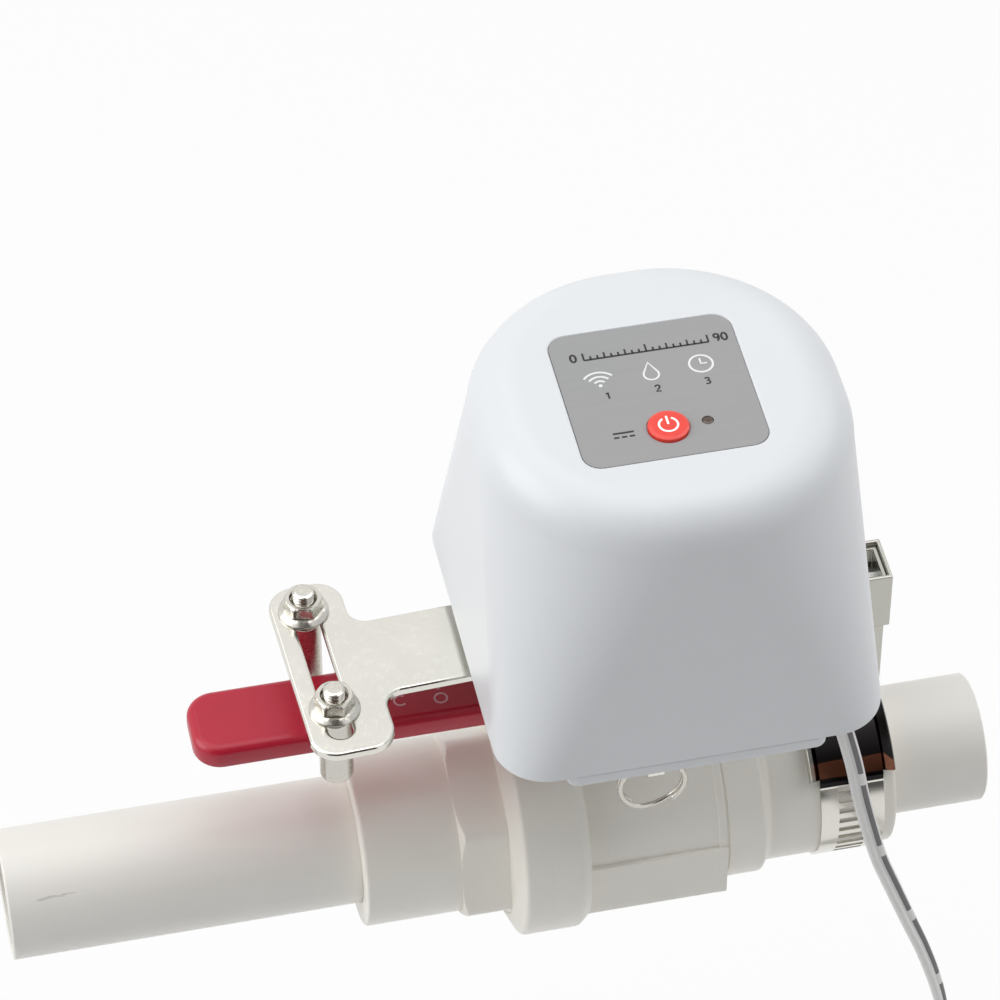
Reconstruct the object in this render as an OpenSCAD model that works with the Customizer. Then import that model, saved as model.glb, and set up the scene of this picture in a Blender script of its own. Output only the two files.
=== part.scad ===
// Motorised controller clamped on a plastic ball valve, with a stub of pipe in each socket.
// Millimetres. The pipe runs along +X from its open inlet end at the origin, +Z is up,
// and the valve stem and the controller's output shaft share one upright axis.

/* [Pipe] */
// Outside diameter of the pipe
pipe_od = 32; // [31:0.5:34]
// Wall of the pipe
pipe_wall = 2.4; // [1.8:0.1:2.8]
// Inlet pipe that shows outside its socket
inlet_show = 86; // [60:1:140]
// Outlet pipe that shows outside its socket
outlet_show = 25; // [12:1:80]
// How far a pipe goes into its socket
socket_depth = 22; // [16:1:24]
// Radial room for cement round a pipe's end in its socket
cement_gap = 0.2; // [0.18:0.02:0.3]

/* [Valve] */
// Stem axis to the inlet socket's face
inlet_face = 74; // [72:1:80]
// Stem axis to the outlet socket's face
outlet_face = 59; // [57:1:70]
// Outside radius of both sockets
socket_r = 22; // [20.5:0.5:24]
// Across flats of the wrench hexagon
hex_af = 44; // [42:1:50]
// Turn of the wrench hexagon about the pipe
hex_turn = -9; // [-30:1:30]
// Length of the wrench hexagon
hex_len = 11.5; // [8:0.5:12]
// Radius of the body's end flange
flange_r = 30.5; // [29:0.5:34]
// Stem axis to the outer face of that flange
flange_face = 36; // [34:1:38]
// Length of the flange
flange_len = 14; // [10:1:15]
// Across flats of the body's lower half
body_af = 49.6; // [48.5:0.1:54]
// Step at the body's mould line
mould_step = 0.8; // [0.2:0.1:1]
// Outlet end of the body's hexagon
body_end = 15.5; // [15:0.5:18]
// Radius of the collar beside the hexagon
collar_r = 24.4; // [23:0.2:28]
// Radius of the ball
ball_r = 18; // [17.5:0.1:18.4]
// Radius of the waterway through ball and sockets
water_r = 12.5; // [10:0.5:12.5]
// Gap between the ball and its seats and cavity
ball_gap = 0.3; // [0.2:0.1:0.5]
// Radius of the stem
stem_r = 7; // [6:0.2:8]
// Radial running clearance of the stem and the shafts
run_gap = 0.06; // [0.02:0.01:0.09]
// Top of the bonnet round the stem
bonnet_top = 36; // [33:1:38]

/* [Lever] */
// Stem axis to the lever's end
lever_len = 112; // [95:1:125]
// Width over the vinyl grip
lever_w = 20.5; // [18:0.5:22]
// Middle height of the lever above the pipe axis
lever_z = 47.5; // [47:0.5:49]
// Thickness over the vinyl grip
lever_t = 7; // [6:0.5:7.5]
// Wall of the vinyl grip
grip_wall = 1.5; // [1:0.1:2]
// Square on the stem
stem_square = 9; // [8:0.5:9.5]

/* [Arm] */
// Height of the arm plate's top face
arm_z = 66.2; // [65.5:0.1:66.4]
// Thickness of the arm plate
arm_t = 2.5; // [2:0.1:3]
// Length of the arm's head along the pipe
head_l = 18; // [17:0.5:22]
// Width of the arm's head across the pipe
head_w = 55; // [50:1:60]
// Width of the arm's neck
neck_w = 23.6; // [20:0.2:26]
// Sideways set of the neck
neck_dy = 1.5; // [0:0.1:2]
// Sideways set of the head and its slot
head_dy = 0.8; // [0:0.1:1.5]
// Middle of the head beyond the slot, towards the stem
head_dx = 1.1; // [0:0.1:1.5]
// Extra length of the head's front lobe
fore_reach = 2.2; // [0.5:0.1:3]
// Turn of the arm ahead of the pipe's line, in degrees
arm_lead = 2.5; // [0:0.1:3]
// Corner radius of the head
head_round = 6.5; // [4:0.5:8]
// Stem axis to the posts
post_x = 80; // [74:1:86]
// Half the distance between the two posts
post_y = 16; // [15.2:0.1:17]
// Middle of the two posts along the slot
post_dy = 3.7; // [3:0.1:4]
// Outside radius of a post
post_r = 4; // [3.5:0.1:4.2]
// Length of a post below the arm
post_len = 19.8; // [16:0.2:24]
// Radius of the thread on a post and of the arm screw
thread_r = 2.5; // [2:0.1:2.8]
// Radius of a flange nut's flange
nut_flange_r = 5.9; // [5.5:0.1:6.2]
// Across flats of a flange nut
nut_af = 8; // [7:0.5:9]

/* [Housing] */
// Height of the cover's lower edge
cover_z = 70.1; // [69.5:0.1:72]
// Height of the cover from its lower edge
cover_h = 77.1; // [75:0.1:84]
// Half of the square foot print of the cover
cover_half = 46.3; // [45:0.1:50]
// Corner radius at the cover's lower edge
cover_round = 12.5; // [11:0.5:14]
// Half width across the top
top_half_x = 43.3; // [42:0.1:45]
// Half depth across the top
top_half_y = 44.4; // [43:0.1:45]
// Corner radius in plan across the top
top_round = 40; // [36:0.5:41]
// Fillet round the top edge
top_fillet = 11.6; // [9:0.1:12]
// Wall of the cover
cover_wall = 2.5; // [2:0.1:3]
// Middle of the cover beside the stem axis
cover_dx = -0.6; // [-2:0.1:1]
// Middle of the cover in front of the stem axis
cover_dy = -6.1; // [-7:0.1:-5]
// Drop of the base's foot below the cover's edge
foot_drop = 3.2; // [3:0.1:3.4]
// Half width of the base's foot
foot_half = 31; // [29:0.5:32]
// Thickness of the base's floor
base_t = 3; // [2.5:0.1:3.5]
// Radial room between the base and the cover
base_fit = 0.3; // [0.2:0.05:0.5]

/* [Top panel] */
// Side of the square panel
panel_side = 42.8; // [40:0.2:44]
// Corner radius of the panel
panel_round = 4.5; // [3:0.5:6]
// Thickness of the panel
panel_t = 0.8; // [0.5:0.1:1]
// Middle of the panel beside the middle of the cover
panel_dx = -1.1; // [-2:0.1:2]
// Middle of the panel in front of the middle of the cover
panel_dy = -1.9; // [-3:0.1:1]
// Radius of the button
button_r = 4.75; // [4:0.05:5.2]
// Height of the button above the panel
button_proud = 0.8; // [0.7:0.1:1.2]
// Travel of the button
button_travel = 0.5; // [0.3:0.1:0.6]
// Radial room round the button
button_gap = 0.25; // [0.15:0.05:0.4]
// Radius of the status light
led_r = 1.3; // [1:0.1:1.6]

/* [Gear train] */
// Gear module
gear_m = 1.25; // [1.25:0.05:1.3]
// Teeth of the output gear
gear_n = 44; // [40:1:44]
// Teeth of the pinion
pinion_n = 12; // [12:1:13]
// Gap between meshing flanks on the pitch circle
backlash = 0.5; // [0.3:0.05:0.6]
// Face width of the output gear
gear_t = 6; // [5:0.5:7]
// Radius of the output shaft
shaft_r = 5; // [4.5:0.1:5.5]
// Travel of the clutch pin
clutch_travel = 5; // [4:0.5:5]
// Radius of the clutch pin
pin_r = 3; // [2.5:0.1:3.4]
// Room between the gear motor and the cover's front wall
motor_room = 1.2; // [0.6:0.1:3]
// Radius of the motor's gearbox
motor_r = 12.5; // [11:0.5:12.5]
// Length of the gear motor above its plate
motor_len = 30; // [26:0.5:31]
// Mean radius of the pull ring
ring_r = 7.85; // [6:0.05:9]
// Radius of the pull ring's wire
ring_wire = 0.65; // [0.5:0.05:0.7]

/* [Bracket and clamp] */
// Outside of the bracket's web from the stem axis
bracket_x = 58.3; // [57.5:0.1:58.8]
// Top of the bracket
bracket_top = 70.7; // [69:0.1:74]
// Height of the bracket's channel
bracket_h = 17; // [15:0.5:20]
// Width across the bracket's channel
bracket_w = 13; // [11:0.5:15]
// Thickness of the sheet steel
sheet_t = 1; // [0.8:0.1:1.2]
// Thickness of the bracket's tongue
tongue_t = 1.5; // [1.2:0.1:2]
// Width of the clamp band
band_w = 16; // [12:0.5:16.4]
// Thickness of the clamp band
band_t = 0.7; // [0.5:0.1:0.9]
// Angle between the slots of the band
slot_pitch = 7.6; // [7.4:0.2:9]
// Number of slots
slot_count = 17; // [8:1:18]
// Half of the saddle's arc over the socket
saddle_half = 52; // [40:1:55]

/* [Cord] */
// Width of the flat twin cord
cord_w = 4.4; // [4:0.1:4.8]
// Thickness of the cord
cord_t = 2.2; // [2:0.1:2.4]
// Outer radius of the coil's loops
coil_r = 27; // [26:0.5:30]
// Step of the coil's spiral for each turn
coil_step = 3; // [2.9:0.1:3.4]
// Step between the coil's two layers
coil_layer = 5.2; // [5:0.1:6]
// Whole turns in the coil
coil_turns = 6; // [4:1:6]

/* [Hidden] */
$fn = 48;
eps = 0.01;
// Clearances
seat_gap = 0.1;
pin_gap = 0.04;
lift = 0.3;
// How far the solids of one piece run into each other
lap = 1;
// Pipe and valve
pipe_r = pipe_od / 2;
pipe_ri = pipe_r - pipe_wall;
stem_x = inlet_show + inlet_face;
hex_end = -flange_face - 2;
hex_start = hex_end - hex_len;
seal_t = 1;
thread_bore_r = 22.5;
// Shoulder of the end connector, and the round face that a chamfer leaves on its hexagon
shoulder_r = thread_bore_r + 2;
hex_face_r = hex_af / 2 + 1;
// The body's flange has a sloped face that hides the seal
face_rise = 1.9;
face_r = shoulder_r + 1.1;
spigot_r = thread_bore_r - seat_gap;
seat_out = ball_r - 0.8;
seat_in = water_r + 0.4;
seat_back = 17;
spigot_end = 12;
cavity_r = ball_r + 1;
collar_end = body_end + 9.7;
bonnet_r = 13;
stem_collar_r = stem_r + 2;
stem_collar_t = 2.2;
stem_foot = ball_r + ball_gap;
tang_w = 6;
tang_l = 14;
slot_floor = ball_r - 4;
gland_h = 6;
// Lever
bar_t = lever_t - 2 * grip_wall;
bar_w = lever_w - 2 * grip_wall;
bar_z = lever_z - bar_t / 2;
grip_start = 28;
hub_r = 13;
lever_thread_r = 4;
lever_nut_h = 5;
// Arm
arm_low = arm_z - arm_t;
arm_hub_r = 13;
arm_square = shaft_r * 1.36;
slot_w = 2 * thread_r + 1;
slot_half = head_w / 2 - 5;
neck_fillet = 4.5;
washer_r = 8;
washer_t = 1.2;
arm_screw_len = 14;
arm_screw_head = 4;
nut_h = 5;
nut_lip = 1.4;
bolt_over = 2.4;
// Housing
cover_top = cover_z + cover_h;
cover_in = cover_top - cover_wall;
foot_z = cover_z - foot_drop;
floor_z = cover_z + base_t;
top_centre_z = cover_top - top_fillet;
top_ring_r = top_round - top_fillet;
foot_round = 3;
foot_in_front = 0.4;
foot_in_back = 14;
foot_front = cover_dy - cover_half + foot_in_front;
foot_back = cover_dy + cover_half - foot_in_back;
boss_r = 3.5;
screw_r = 1.4;
head_r = 2.8;
head_h = 2;
cover_boss_h = 24;
cover_screw_len = 12;
// The corner of the cover at the height where its screw bosses run into the wall
boss_share = (base_t + cover_boss_h) / (top_centre_z - cover_z);
boss_round = cover_round + (top_round - cover_round) * boss_share;
boss_half = cover_half + (top_half_x - cover_half) * boss_share;
boss_at = boss_half - boss_round + (boss_round - cover_wall - boss_r + lap) / sqrt(2);
// Top panel
panel_x = cover_dx + panel_dx;
panel_y = cover_dy + panel_dy;
panel_low = cover_top - panel_t;
button_x = panel_x - 0.4;
button_y = panel_y - 12;
led_x = panel_x + 8.8;
led_y = panel_y - 11.6;
button_flange_r = button_r + 1.5;
button_flange_t = 1.2;
button_flange_z = cover_in - lift - button_flange_t;
button_stem = 0.6;
board_w = 50;
board_d = 44;
board_t = 1.6;
board_top = cover_in - 4.9;
board_hole_x = 21;
board_hole_y = 18;
switch_side = 6;
switch_top = button_flange_z - button_stem - button_travel - lift;
// Gear train
gear_r = gear_m * gear_n / 2;
pinion_r = gear_m * pinion_n / 2;
centre_dist = gear_r + pinion_r;
pinion_y = cover_dy - min(cover_half, top_half_y) + cover_wall + motor_r + motor_room;
pinion_x = -sqrt(centre_dist * centre_dist - pinion_y * pinion_y);
mesh_angle = atan2(pinion_y, pinion_x);
pinion_low = floor_z + clutch_travel + 1.9;
gear_low = pinion_low + 4;
gear_top = gear_low + gear_t;
pinion_top = gear_top + 2;
dog_w = 4;
dog_h = 3;
dog_r = pinion_r - gear_m - lift;
plate_z = pinion_top + 9;
plate_t = 2;
stand_r = 4;
stand_in = 5;
plate_front = cover_dy - cover_half + 9.4;
plate_back = cover_dy + cover_half - 11.2;
post_front_x = boss_at - boss_r - stand_r - 2;
post_back_x = post_front_x + 2;
plate_x = post_back_x + stand_in;
plate_screw_len = 10;
bush_r = shaft_r + 3;
bush_lip_r = bush_r + 2;
bush_lip_t = 1.5;
gear_hub_r = shaft_r + 4;
shaft_top = plate_z + plate_t + 2;
coupler_r = 6.5;
coupler_top = plate_z - head_h - lap;
motor_shaft_r = 2;
motor_shaft_in = 7.5;
motor_pitch = 8.5;
cam_r = shaft_r + 7;
cam_low = gear_top + 1;
cam_t = 5;
cam_nose = 4;
cam_nose_w = 6;
switch_tip = 1.5;
limit_w = 18;
limit_d = 6.4;
pin_collar_r = 5;
pin_collar_t = 2;
spring_floor = foot_z + 2;
spring_top = pinion_low - pin_collar_t;
spring_r = pin_r + 1.1;
spring_wire = 0.35;
spring_turns = 5;
ring_axis_z = foot_z - 15.9;
eye_r = 2.1;
eye_out = 3.8;
eye_t = 4;
// Bracket, saddle and clamp
tongue_start = 17;
tongue_holes = [3.5, 10];
tongue_top = foot_z;
channel_start = 46.8;
leg_w = bracket_w - 2 * (sheet_t + seat_gap);
leg_x = bracket_x - sheet_t - seat_gap;
leg_start = 50;
saddle_r = socket_r + 0.05;
saddle_out = saddle_r + sheet_t;
band_x = 39.6;
band_r = socket_r + 0.05;
band_over_r = saddle_out + seat_gap;
ear = 2.3;
ear_rise = 2.6;
leg_low = saddle_out + band_t + 2.2;
leg_screw_z = bracket_top - bracket_h / 2;
leg_screw_r = 2;
slot_from = 150;
slot_l = 7;
slot_t = 1.5;
worm_at = 305;
worm_r = 3.4;
worm_house = 13;
worm_half = 6;
worm_head = 12;
worm_axis = band_r + band_t + worm_r + lift;
// Cord: the points of the run that hangs, from the grommet to the coil's lead
grommet_x = 37;
grommet_y = -31;
grommet_r = 4;
grommet_z = cover_z - 3;
cord_run = [[37, -31, 67.1], [37.2, -31.8, 62], [38, -34.5, 57], [39.3, -37, 52], [41.6, -38, 42],
            [43.6, -39, 31], [45.8, -40, 21], [48.7, -41, 9.5], [52.7, -42, -2], [57, -43, -14],
            [61, -44, -25], [64.6, -45, -37], [67.2, -45.8, -49]];
coil_at = [65, -46, -101];
coil_start = 65;
lead_r = 12;
coil_tail = 20;
socket_len = 32;
socket_body_r = 5.5;
tie_gap = 0.6;
tie_t = 1.2;
tie_w = 6;

// Places shared by several sub-parts
module at_stem() { translate([stem_x, 0, 0]) children(); }
module along_x(x) { translate([x, 0, 0]) rotate([0, 90, 0]) children(); }
module rod_x(x0, x1, r) { along_x(x0) cylinder(h = x1 - x0, r = r); }
module rod_z(z0, z1, r) { translate([0, 0, z0]) cylinder(h = z1 - z0, r = r); }
module hex_x(x0, x1, af) { along_x(x0) cylinder(h = x1 - x0, r = af / 2 / cos(30), $fn = 6); }
module hex_z(z0, z1, af) { translate([0, 0, z0]) cylinder(h = z1 - z0, r = af / 2 / cos(30), $fn = 6); }
module box(x0, x1, y0, y1, z0, z1) { translate([x0, y0, z0]) cube([x1 - x0, y1 - y0, z1 - z0]); }
module at_pinion() { translate([pinion_x, pinion_y, 0]) children(); }
module at_button() { translate([button_x, button_y, 0]) children(); }
module at_led() { translate([led_x, led_y, 0]) children(); }
module at_arm() { at_stem() rotate([0, 0, arm_lead]) children(); }
module at_posts() { at_arm() for (s = [-1, 1]) translate([-post_x, post_dy + s * post_y, 0]) children(); }
module at_cover() { translate([cover_dx, cover_dy, 0]) children(); }
module at_corners(x, y) { for (sx = [-1, 1], sy = [-1, 1]) translate([sx * x, sy * y, 0]) children(); }
module at_board_holes() {
  translate([panel_x, panel_y, 0]) at_corners(board_hole_x, board_hole_y) children();
}
module at_tongue() { for (d = tongue_holes) translate([tongue_start + d, 0, 0]) children(); }
module at_stands() {
  for (s = [-1, 1]) translate([s * post_front_x, plate_front + stand_in, 0]) children();
  for (s = [-1, 1]) translate([s * post_back_x, plate_back - stand_in, 0]) children();
}
// Angle a is measured about the pipe, from +Y towards +Z
module about_pipe(a) { rotate([a, 0, 0]) children(); }
module arc_x(from, sweep) {
  rotate([0, 90, 0]) rotate([0, 0, from + 90]) rotate_extrude(angle = sweep) children();
}

// A rectangle with round corners, about the origin
module round_rect(w, d, r) {
  square([w - 2 * r, d], center = true);
  square([w, d - 2 * r], center = true);
  at_corners(w / 2 - r, d / 2 - r) circle(r);
}

// A spur gear's outline, thinned on the pitch circle for backlash
module gear_outline(n, spare) {
  pitch = gear_m * n / 2;
  half = 90 / n - spare / 4 / pitch * 180 / PI;
  polygon([for (i = [0:n - 1], k = [[-1.3, -1.3], [-1, 0], [-0.42, 0.9], [0.42, 0.9], [1, 0], [1.3, -1.3]])
    let (a = 360 * i / n + k[0] * half, r = pitch + gear_m * k[1]) [r * cos(a), r * sin(a)]]);
}

// A screw with a round head, its head's underside at z = 0 and its point down
module screw(len, up = 1) {
  mirror([0, 0, up > 0 ? 0 : 1]) {
    rod_z(-len, eps, screw_r);
    rod_z(0, head_h, head_r);
  }
}

// Tubes: rings of a section carried along a path, closed at both ends
function unit(v) = v / norm(v);
function tangent(p, i) = unit(p[min(i + 1, len(p) - 1)] - p[max(i - 1, 0)]);
function flat_section(sides) = [for (k = [0:sides - 1]) let (a = 360 * (k + 0.5) / sides)
  [sign(round(cos(a) * 1000)) * (cord_w - cord_t) / 2 + cord_t / 2 * cos(a), cord_t / 2 * sin(a)]];
function round_section(r, sides) =
  [for (k = [0:sides - 1]) let (a = 360 * k / sides) [r * cos(a), r * sin(a)]];
// Ring i of a tube: side is the direction that the section's width takes before it is made square to the path
function ring_at(p, t, side, section) = let (u = unit(side - (side * t) * t), v = cross(t, u))
  [for (s = section) p + s[0] * u + s[1] * v];
module tube(rings) {
  n = len(rings[0]);
  m = len(rings);
  polyhedron([for (r = rings, q = r) q], concat(
    [[for (k = [0:n - 1]) k]],
    [for (i = [0:m - 2], k = [0:n - 1]) [i * n + k, (i + 1) * n + k, i * n + (k + 1) % n]],
    [for (i = [0:m - 2], k = [0:n - 1]) [i * n + (k + 1) % n, (i + 1) * n + k, (i + 1) * n + (k + 1) % n]],
    [[for (k = [n - 1:-1:0]) (m - 1) * n + k]]));
}

// The coil: it spirals in and out again in two layers, and climbs where the spiral turns back
coil_sweep = 360 * coil_turns + coil_start;
coil_rings = 24 * coil_turns + 4;
function coil_radius(s) = coil_r - coil_step / 360 * min(s, coil_sweep - s);
function coil_climb(s) = coil_layer * min(1, max(0, (s - coil_sweep / 2 + 90) / 180));
function coil_point(s) = let (a = coil_start - s)
  coil_at + [coil_radius(s) * cos(a), coil_climb(s), coil_radius(s) * sin(a)];
coil_loops = [for (i = [0:coil_rings]) coil_point(coil_sweep * i / coil_rings)];
coil_end = coil_loops[coil_rings];
coil_path = concat(coil_loops, [coil_end + [0, 0, -coil_tail / 2], coil_end + [0, 0, -coil_tail]]);
function coil_way(i) = i > coil_rings ? [0, 0, -1] :
  let (a = coil_start - coil_sweep * i / coil_rings) [sin(a), 0, -cos(a)];
coil_tube = [for (i = [0:len(coil_path) - 1]) ring_at(coil_path[i], coil_way(i), [0, 1, 0], flat_section(6))];
coil_gap = min([for (i = [0:coil_rings], d = [20:28], j = [i + d, coil_rings - i + d - 24])
  if (j <= coil_rings && j > i + 12) min([for (p = coil_tube[i], q = coil_tube[j]) norm(p - q)])]);
echo(coil_least_gap = coil_gap);

// The hanging run ends in a bend that leads into the coil's first loop
lead_end = coil_loops[0];
lead_mid = lead_end - lead_r * [cos(180 + coil_start), 0, sin(180 + coil_start)];
lead = [for (a = [180, 180 + coil_start / 2, 180 + coil_start]) lead_mid + lead_r * [cos(a), 0, sin(a)]];
cord_path = concat(cord_run, lead);
cord_way = concat([[0, 0, -1]], [for (i = [1:len(cord_path) - 2]) tangent(cord_path, i)], [coil_way(0)]);
// The flat cord turns a quarter turn on its way down, from facing front to lying on the coil
function cord_side(i) = let (a = 90 * pow(i / (len(cord_path) - 1), 2)) [cos(a), sin(a), 0];

// The valve
module inlet_pipe() {
  end = inlet_show + socket_depth;
  color("gainsboro") difference() {
    union() {
      rod_x(0, inlet_show, pipe_r);
      rod_x(0, end, pipe_r - cement_gap);
    }
    rod_x(-eps, end + eps, pipe_ri);
  }
}

module outlet_pipe() {
  end = outlet_face + outlet_show;
  color("gainsboro") at_stem() difference() {
    union() {
      rod_x(outlet_face, end, pipe_r);
      rod_x(outlet_face - socket_depth, end, pipe_r - cement_gap);
    }
    rod_x(outlet_face - socket_depth - eps, end + eps, pipe_ri);
  }
}

module end_connector() {
  color("lightgray") at_stem() difference() {
    union() {
      rod_x(-inlet_face, hex_start + 1, socket_r);
      intersection() {
        about_pipe(hex_turn) hex_x(hex_start, hex_end, hex_af);
        along_x(hex_start) cylinder(h = hex_len, r1 = hex_face_r, r2 = hex_face_r + hex_len / tan(30));
        along_x(hex_start) cylinder(h = hex_len, r1 = hex_face_r + hex_len / tan(30), r2 = hex_face_r);
      }
      rod_x(hex_end - eps, -flange_face - seal_t, shoulder_r);
      rod_x(hex_end - eps, -spigot_end, spigot_r);
    }
    rod_x(-inlet_face - eps, socket_depth - inlet_face, pipe_r);
    rod_x(-inlet_face, -spigot_end + eps, water_r);
    rod_x(-seat_back, -spigot_end + eps, seat_out + seat_gap);
  }
}

module body_seal() {
  color("dimgray") at_stem() along_x(-flange_face - seal_t) difference() {
    cylinder(h = seal_t, r = thread_bore_r + 1.6);
    translate([0, 0, -eps]) cylinder(h = seal_t + 2 * eps, r = thread_bore_r);
  }
}

// The body's middle: half a hexagon below the mould line and a smaller round above it, with a raised end
module body_middle() {
  mould_z = 1.4;
  start = -flange_face + flange_len - eps;
  for (end = [[start, 0], [body_end - 2, 0.4]]) {
    intersection() {
      hex_x(end[0], body_end, body_af + 2 * end[1]);
      box(-flange_face, body_end, -flange_r, flange_r, -flange_r, mould_z);
    }
    intersection() {
      rod_x(end[0], body_end, body_af / 2 - mould_step + end[1]);
      box(-flange_face, body_end, -flange_r, flange_r, mould_z - eps, flange_r);
    }
  }
}

module valve_body() {
  shoulder = -flange_face + flange_len;
  color("lightgray") at_stem() difference() {
    union() {
      along_x(-flange_face - face_rise) cylinder(h = face_rise + eps, r1 = face_r, r2 = flange_r);
      rod_x(-flange_face, shoulder, flange_r);
      along_x(shoulder - eps) cylinder(h = 2.6, r1 = flange_r, r2 = flange_r - 2.1);
      body_middle();
      rod_x(body_end - eps, collar_end, collar_r);
      along_x(collar_end - eps) cylinder(h = 1.7, r1 = collar_r, r2 = socket_r);
      rod_x(collar_end, outlet_face, socket_r);
      rod_z(ball_r, bonnet_top, bonnet_r);
    }
    rod_x(-flange_face - face_rise - eps, -flange_face, shoulder_r + seat_gap);
    rod_x(-flange_face - eps, -spigot_end + 0.5, thread_bore_r);
    rod_x(-spigot_end, spigot_end, cavity_r);
    rod_x(spigot_end - eps, seat_back, seat_out + seat_gap);
    rod_x(seat_back - eps, outlet_face, water_r);
    rod_x(outlet_face - socket_depth, outlet_face + eps, pipe_r);
    rod_z(0, bonnet_top + eps, stem_r + run_gap);
    rod_z(0, stem_foot + stem_collar_t + 2 * lift, stem_collar_r + lift);
  }
}

module valve_ball() {
  color("whitesmoke") at_stem() difference() {
    sphere(ball_r);
    rod_x(-ball_r - eps, ball_r + eps, water_r);
    box(-tang_l / 2 - lift, tang_l / 2 + lift, -tang_w / 2 - seat_gap, tang_w / 2 + seat_gap,
        slot_floor, ball_r + 1);
  }
}

// Each seat has a cone that would touch the ball at the middle of its width
module ball_seats() {
  mid = (seat_in + seat_out) / 2;
  touch = sqrt(pow(ball_r + ball_gap, 2) - mid * mid);
  fall = mid / touch * (seat_out - seat_in) / 2;
  color("white") at_stem() for (s = [0, 1]) mirror([s, 0, 0]) along_x(0) rotate_extrude()
    polygon([[seat_in, touch + fall], [seat_out, touch - fall], [seat_out, seat_back], [seat_in, seat_back]]);
}

module valve_stem() {
  color("silver") at_stem() difference() {
    union() {
      box(-tang_l / 2, tang_l / 2, -tang_w / 2, tang_w / 2, slot_floor + lift, stem_foot + eps);
      rod_z(stem_foot, stem_foot + stem_collar_t, stem_collar_r);
      rod_z(stem_foot, bar_z, stem_r);
      box(-stem_square / 2, stem_square / 2, -stem_square / 2, stem_square / 2, bar_z - eps, bar_z + bar_t);
      rod_z(bar_z, bar_z + bar_t + lever_nut_h + 1, lever_thread_r);
    }
    for (z = [bonnet_top - 9, bonnet_top - 4]) translate([0, 0, z]) difference() {
      cylinder(h = 2, r = stem_r + 1);
      translate([0, 0, -1]) cylinder(h = 4, r = stem_r - 1.6);
    }
  }
}

module stem_seals() {
  color("dimgray") at_stem() for (z = [bonnet_top - 9, bonnet_top - 4])
    translate([0, 0, z + 1]) rotate_extrude() translate([stem_r - 0.82, 0]) circle(0.78);
}

module gland_nut() {
  color("lightgray") at_stem() difference() {
    hex_z(bonnet_top, bonnet_top + gland_h, 2 * stem_r + 9);
    rod_z(bonnet_top - eps, bonnet_top + gland_h + eps, stem_r + lift);
  }
}

// The lever
module bar_outline(w, from) {
  translate([-(lever_len - grip_wall), -w / 2]) {
    translate([w / 3, 0]) square([lever_len - grip_wall - w / 3 - from, w]);
    translate([0, w / 3]) square([w / 3 + eps, w / 3]);
    for (s = [1, 2]) translate([w / 3, s * w / 3]) circle(w / 3);
  }
}

module lever_bar() {
  color("silver") at_stem() translate([0, 0, bar_z]) linear_extrude(bar_t) difference() {
    union() {
      bar_outline(bar_w, 0);
      circle(hub_r);
    }
    square(stem_square + 2 * seat_gap, center = true);
  }
}

module lever_grip() {
  end = lever_len - lever_w / 3;
  color("crimson") at_stem() difference() {
    translate([0, 0, lever_z]) {
      translate([0, 0, -lever_t / 2]) linear_extrude(lever_t) {
        translate([-end, -lever_w / 2]) square([end - grip_start, lever_w]);
        translate([-lever_len, -lever_w / 6]) square([lever_w / 3 + eps, lever_w / 3]);
        for (s = [-1, 1]) translate([-end, s * lever_w / 6]) circle(lever_w / 3);
      }
    }
    translate([0, 0, bar_z]) linear_extrude(bar_t) bar_outline(bar_w, 0);
  }
}

module lever_nut() {
  color("silver") at_stem() difference() {
    hex_z(bar_z + bar_t, bar_z + bar_t + lever_nut_h, 3.25 * lever_thread_r);
    rod_z(bar_z, bar_z + bar_t + lever_nut_h + eps, lever_thread_r);
  }
}

// The arm that turns the lever
module arm_outline() {
  head_x = head_dx - post_x;
  neck_x = head_x + head_l / 2;
  fore_x = neck_x + fore_reach;
  neck_front = neck_dy - neck_w / 2;
  fillet_front = neck_front - neck_fillet;
  lobe = fillet_front + head_round + eps - head_dy + head_w / 2;
  difference() {
    union() {
      translate([head_x, head_dy]) round_rect(head_l, head_w, head_round);
      translate([head_x + fore_reach / 2, head_dy - (head_w - lobe) / 2])
        round_rect(head_l + fore_reach, lobe, head_round);
      translate([neck_x - eps, neck_front]) square([-neck_x, neck_w]);
      circle(arm_hub_r);
      translate([neck_x - lap, fillet_front]) square([lap + fore_reach + neck_fillet, neck_fillet + neck_w / 2]);
      translate([neck_x - lap, neck_dy]) square([lap + neck_fillet, neck_fillet + neck_w / 2]);
    }
    translate([fore_x + neck_fillet, fillet_front]) circle(neck_fillet + eps);
    translate([neck_x + neck_fillet, neck_dy + neck_w / 2 + neck_fillet]) circle(neck_fillet + eps);
    translate([-post_x, head_dy]) square([slot_w, 2 * slot_half - slot_w], center = true);
    for (s = [-1, 1]) translate([-post_x, head_dy + s * (slot_half - slot_w / 2)]) circle(slot_w / 2);
    square(arm_square + 2 * seat_gap, center = true);
  }
}

module arm_plate() {
  color("silver") at_arm() translate([0, 0, arm_low]) linear_extrude(arm_t) arm_outline();
}

module arm_washer() {
  color("silver") at_stem() difference() {
    rod_z(arm_low - washer_t, arm_low, washer_r);
    rod_z(arm_low - washer_t - eps, arm_low + eps, thread_r + seat_gap);
  }
}

module arm_screw() {
  color("gray") at_stem() translate([0, 0, arm_low - washer_t]) difference() {
    union() {
      rod_z(-arm_screw_head, 0, 1.7 * thread_r);
      rod_z(-eps, arm_screw_len, thread_r);
    }
    hex_z(-arm_screw_head - eps, -arm_screw_head / 2, 1.6 * thread_r);
  }
}

module drive_posts() {
  color("silver") at_posts() {
    rod_z(arm_low - post_len, arm_low, post_r);
    rod_z(arm_low - eps, arm_z + nut_h + bolt_over, thread_r);
  }
}

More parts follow.
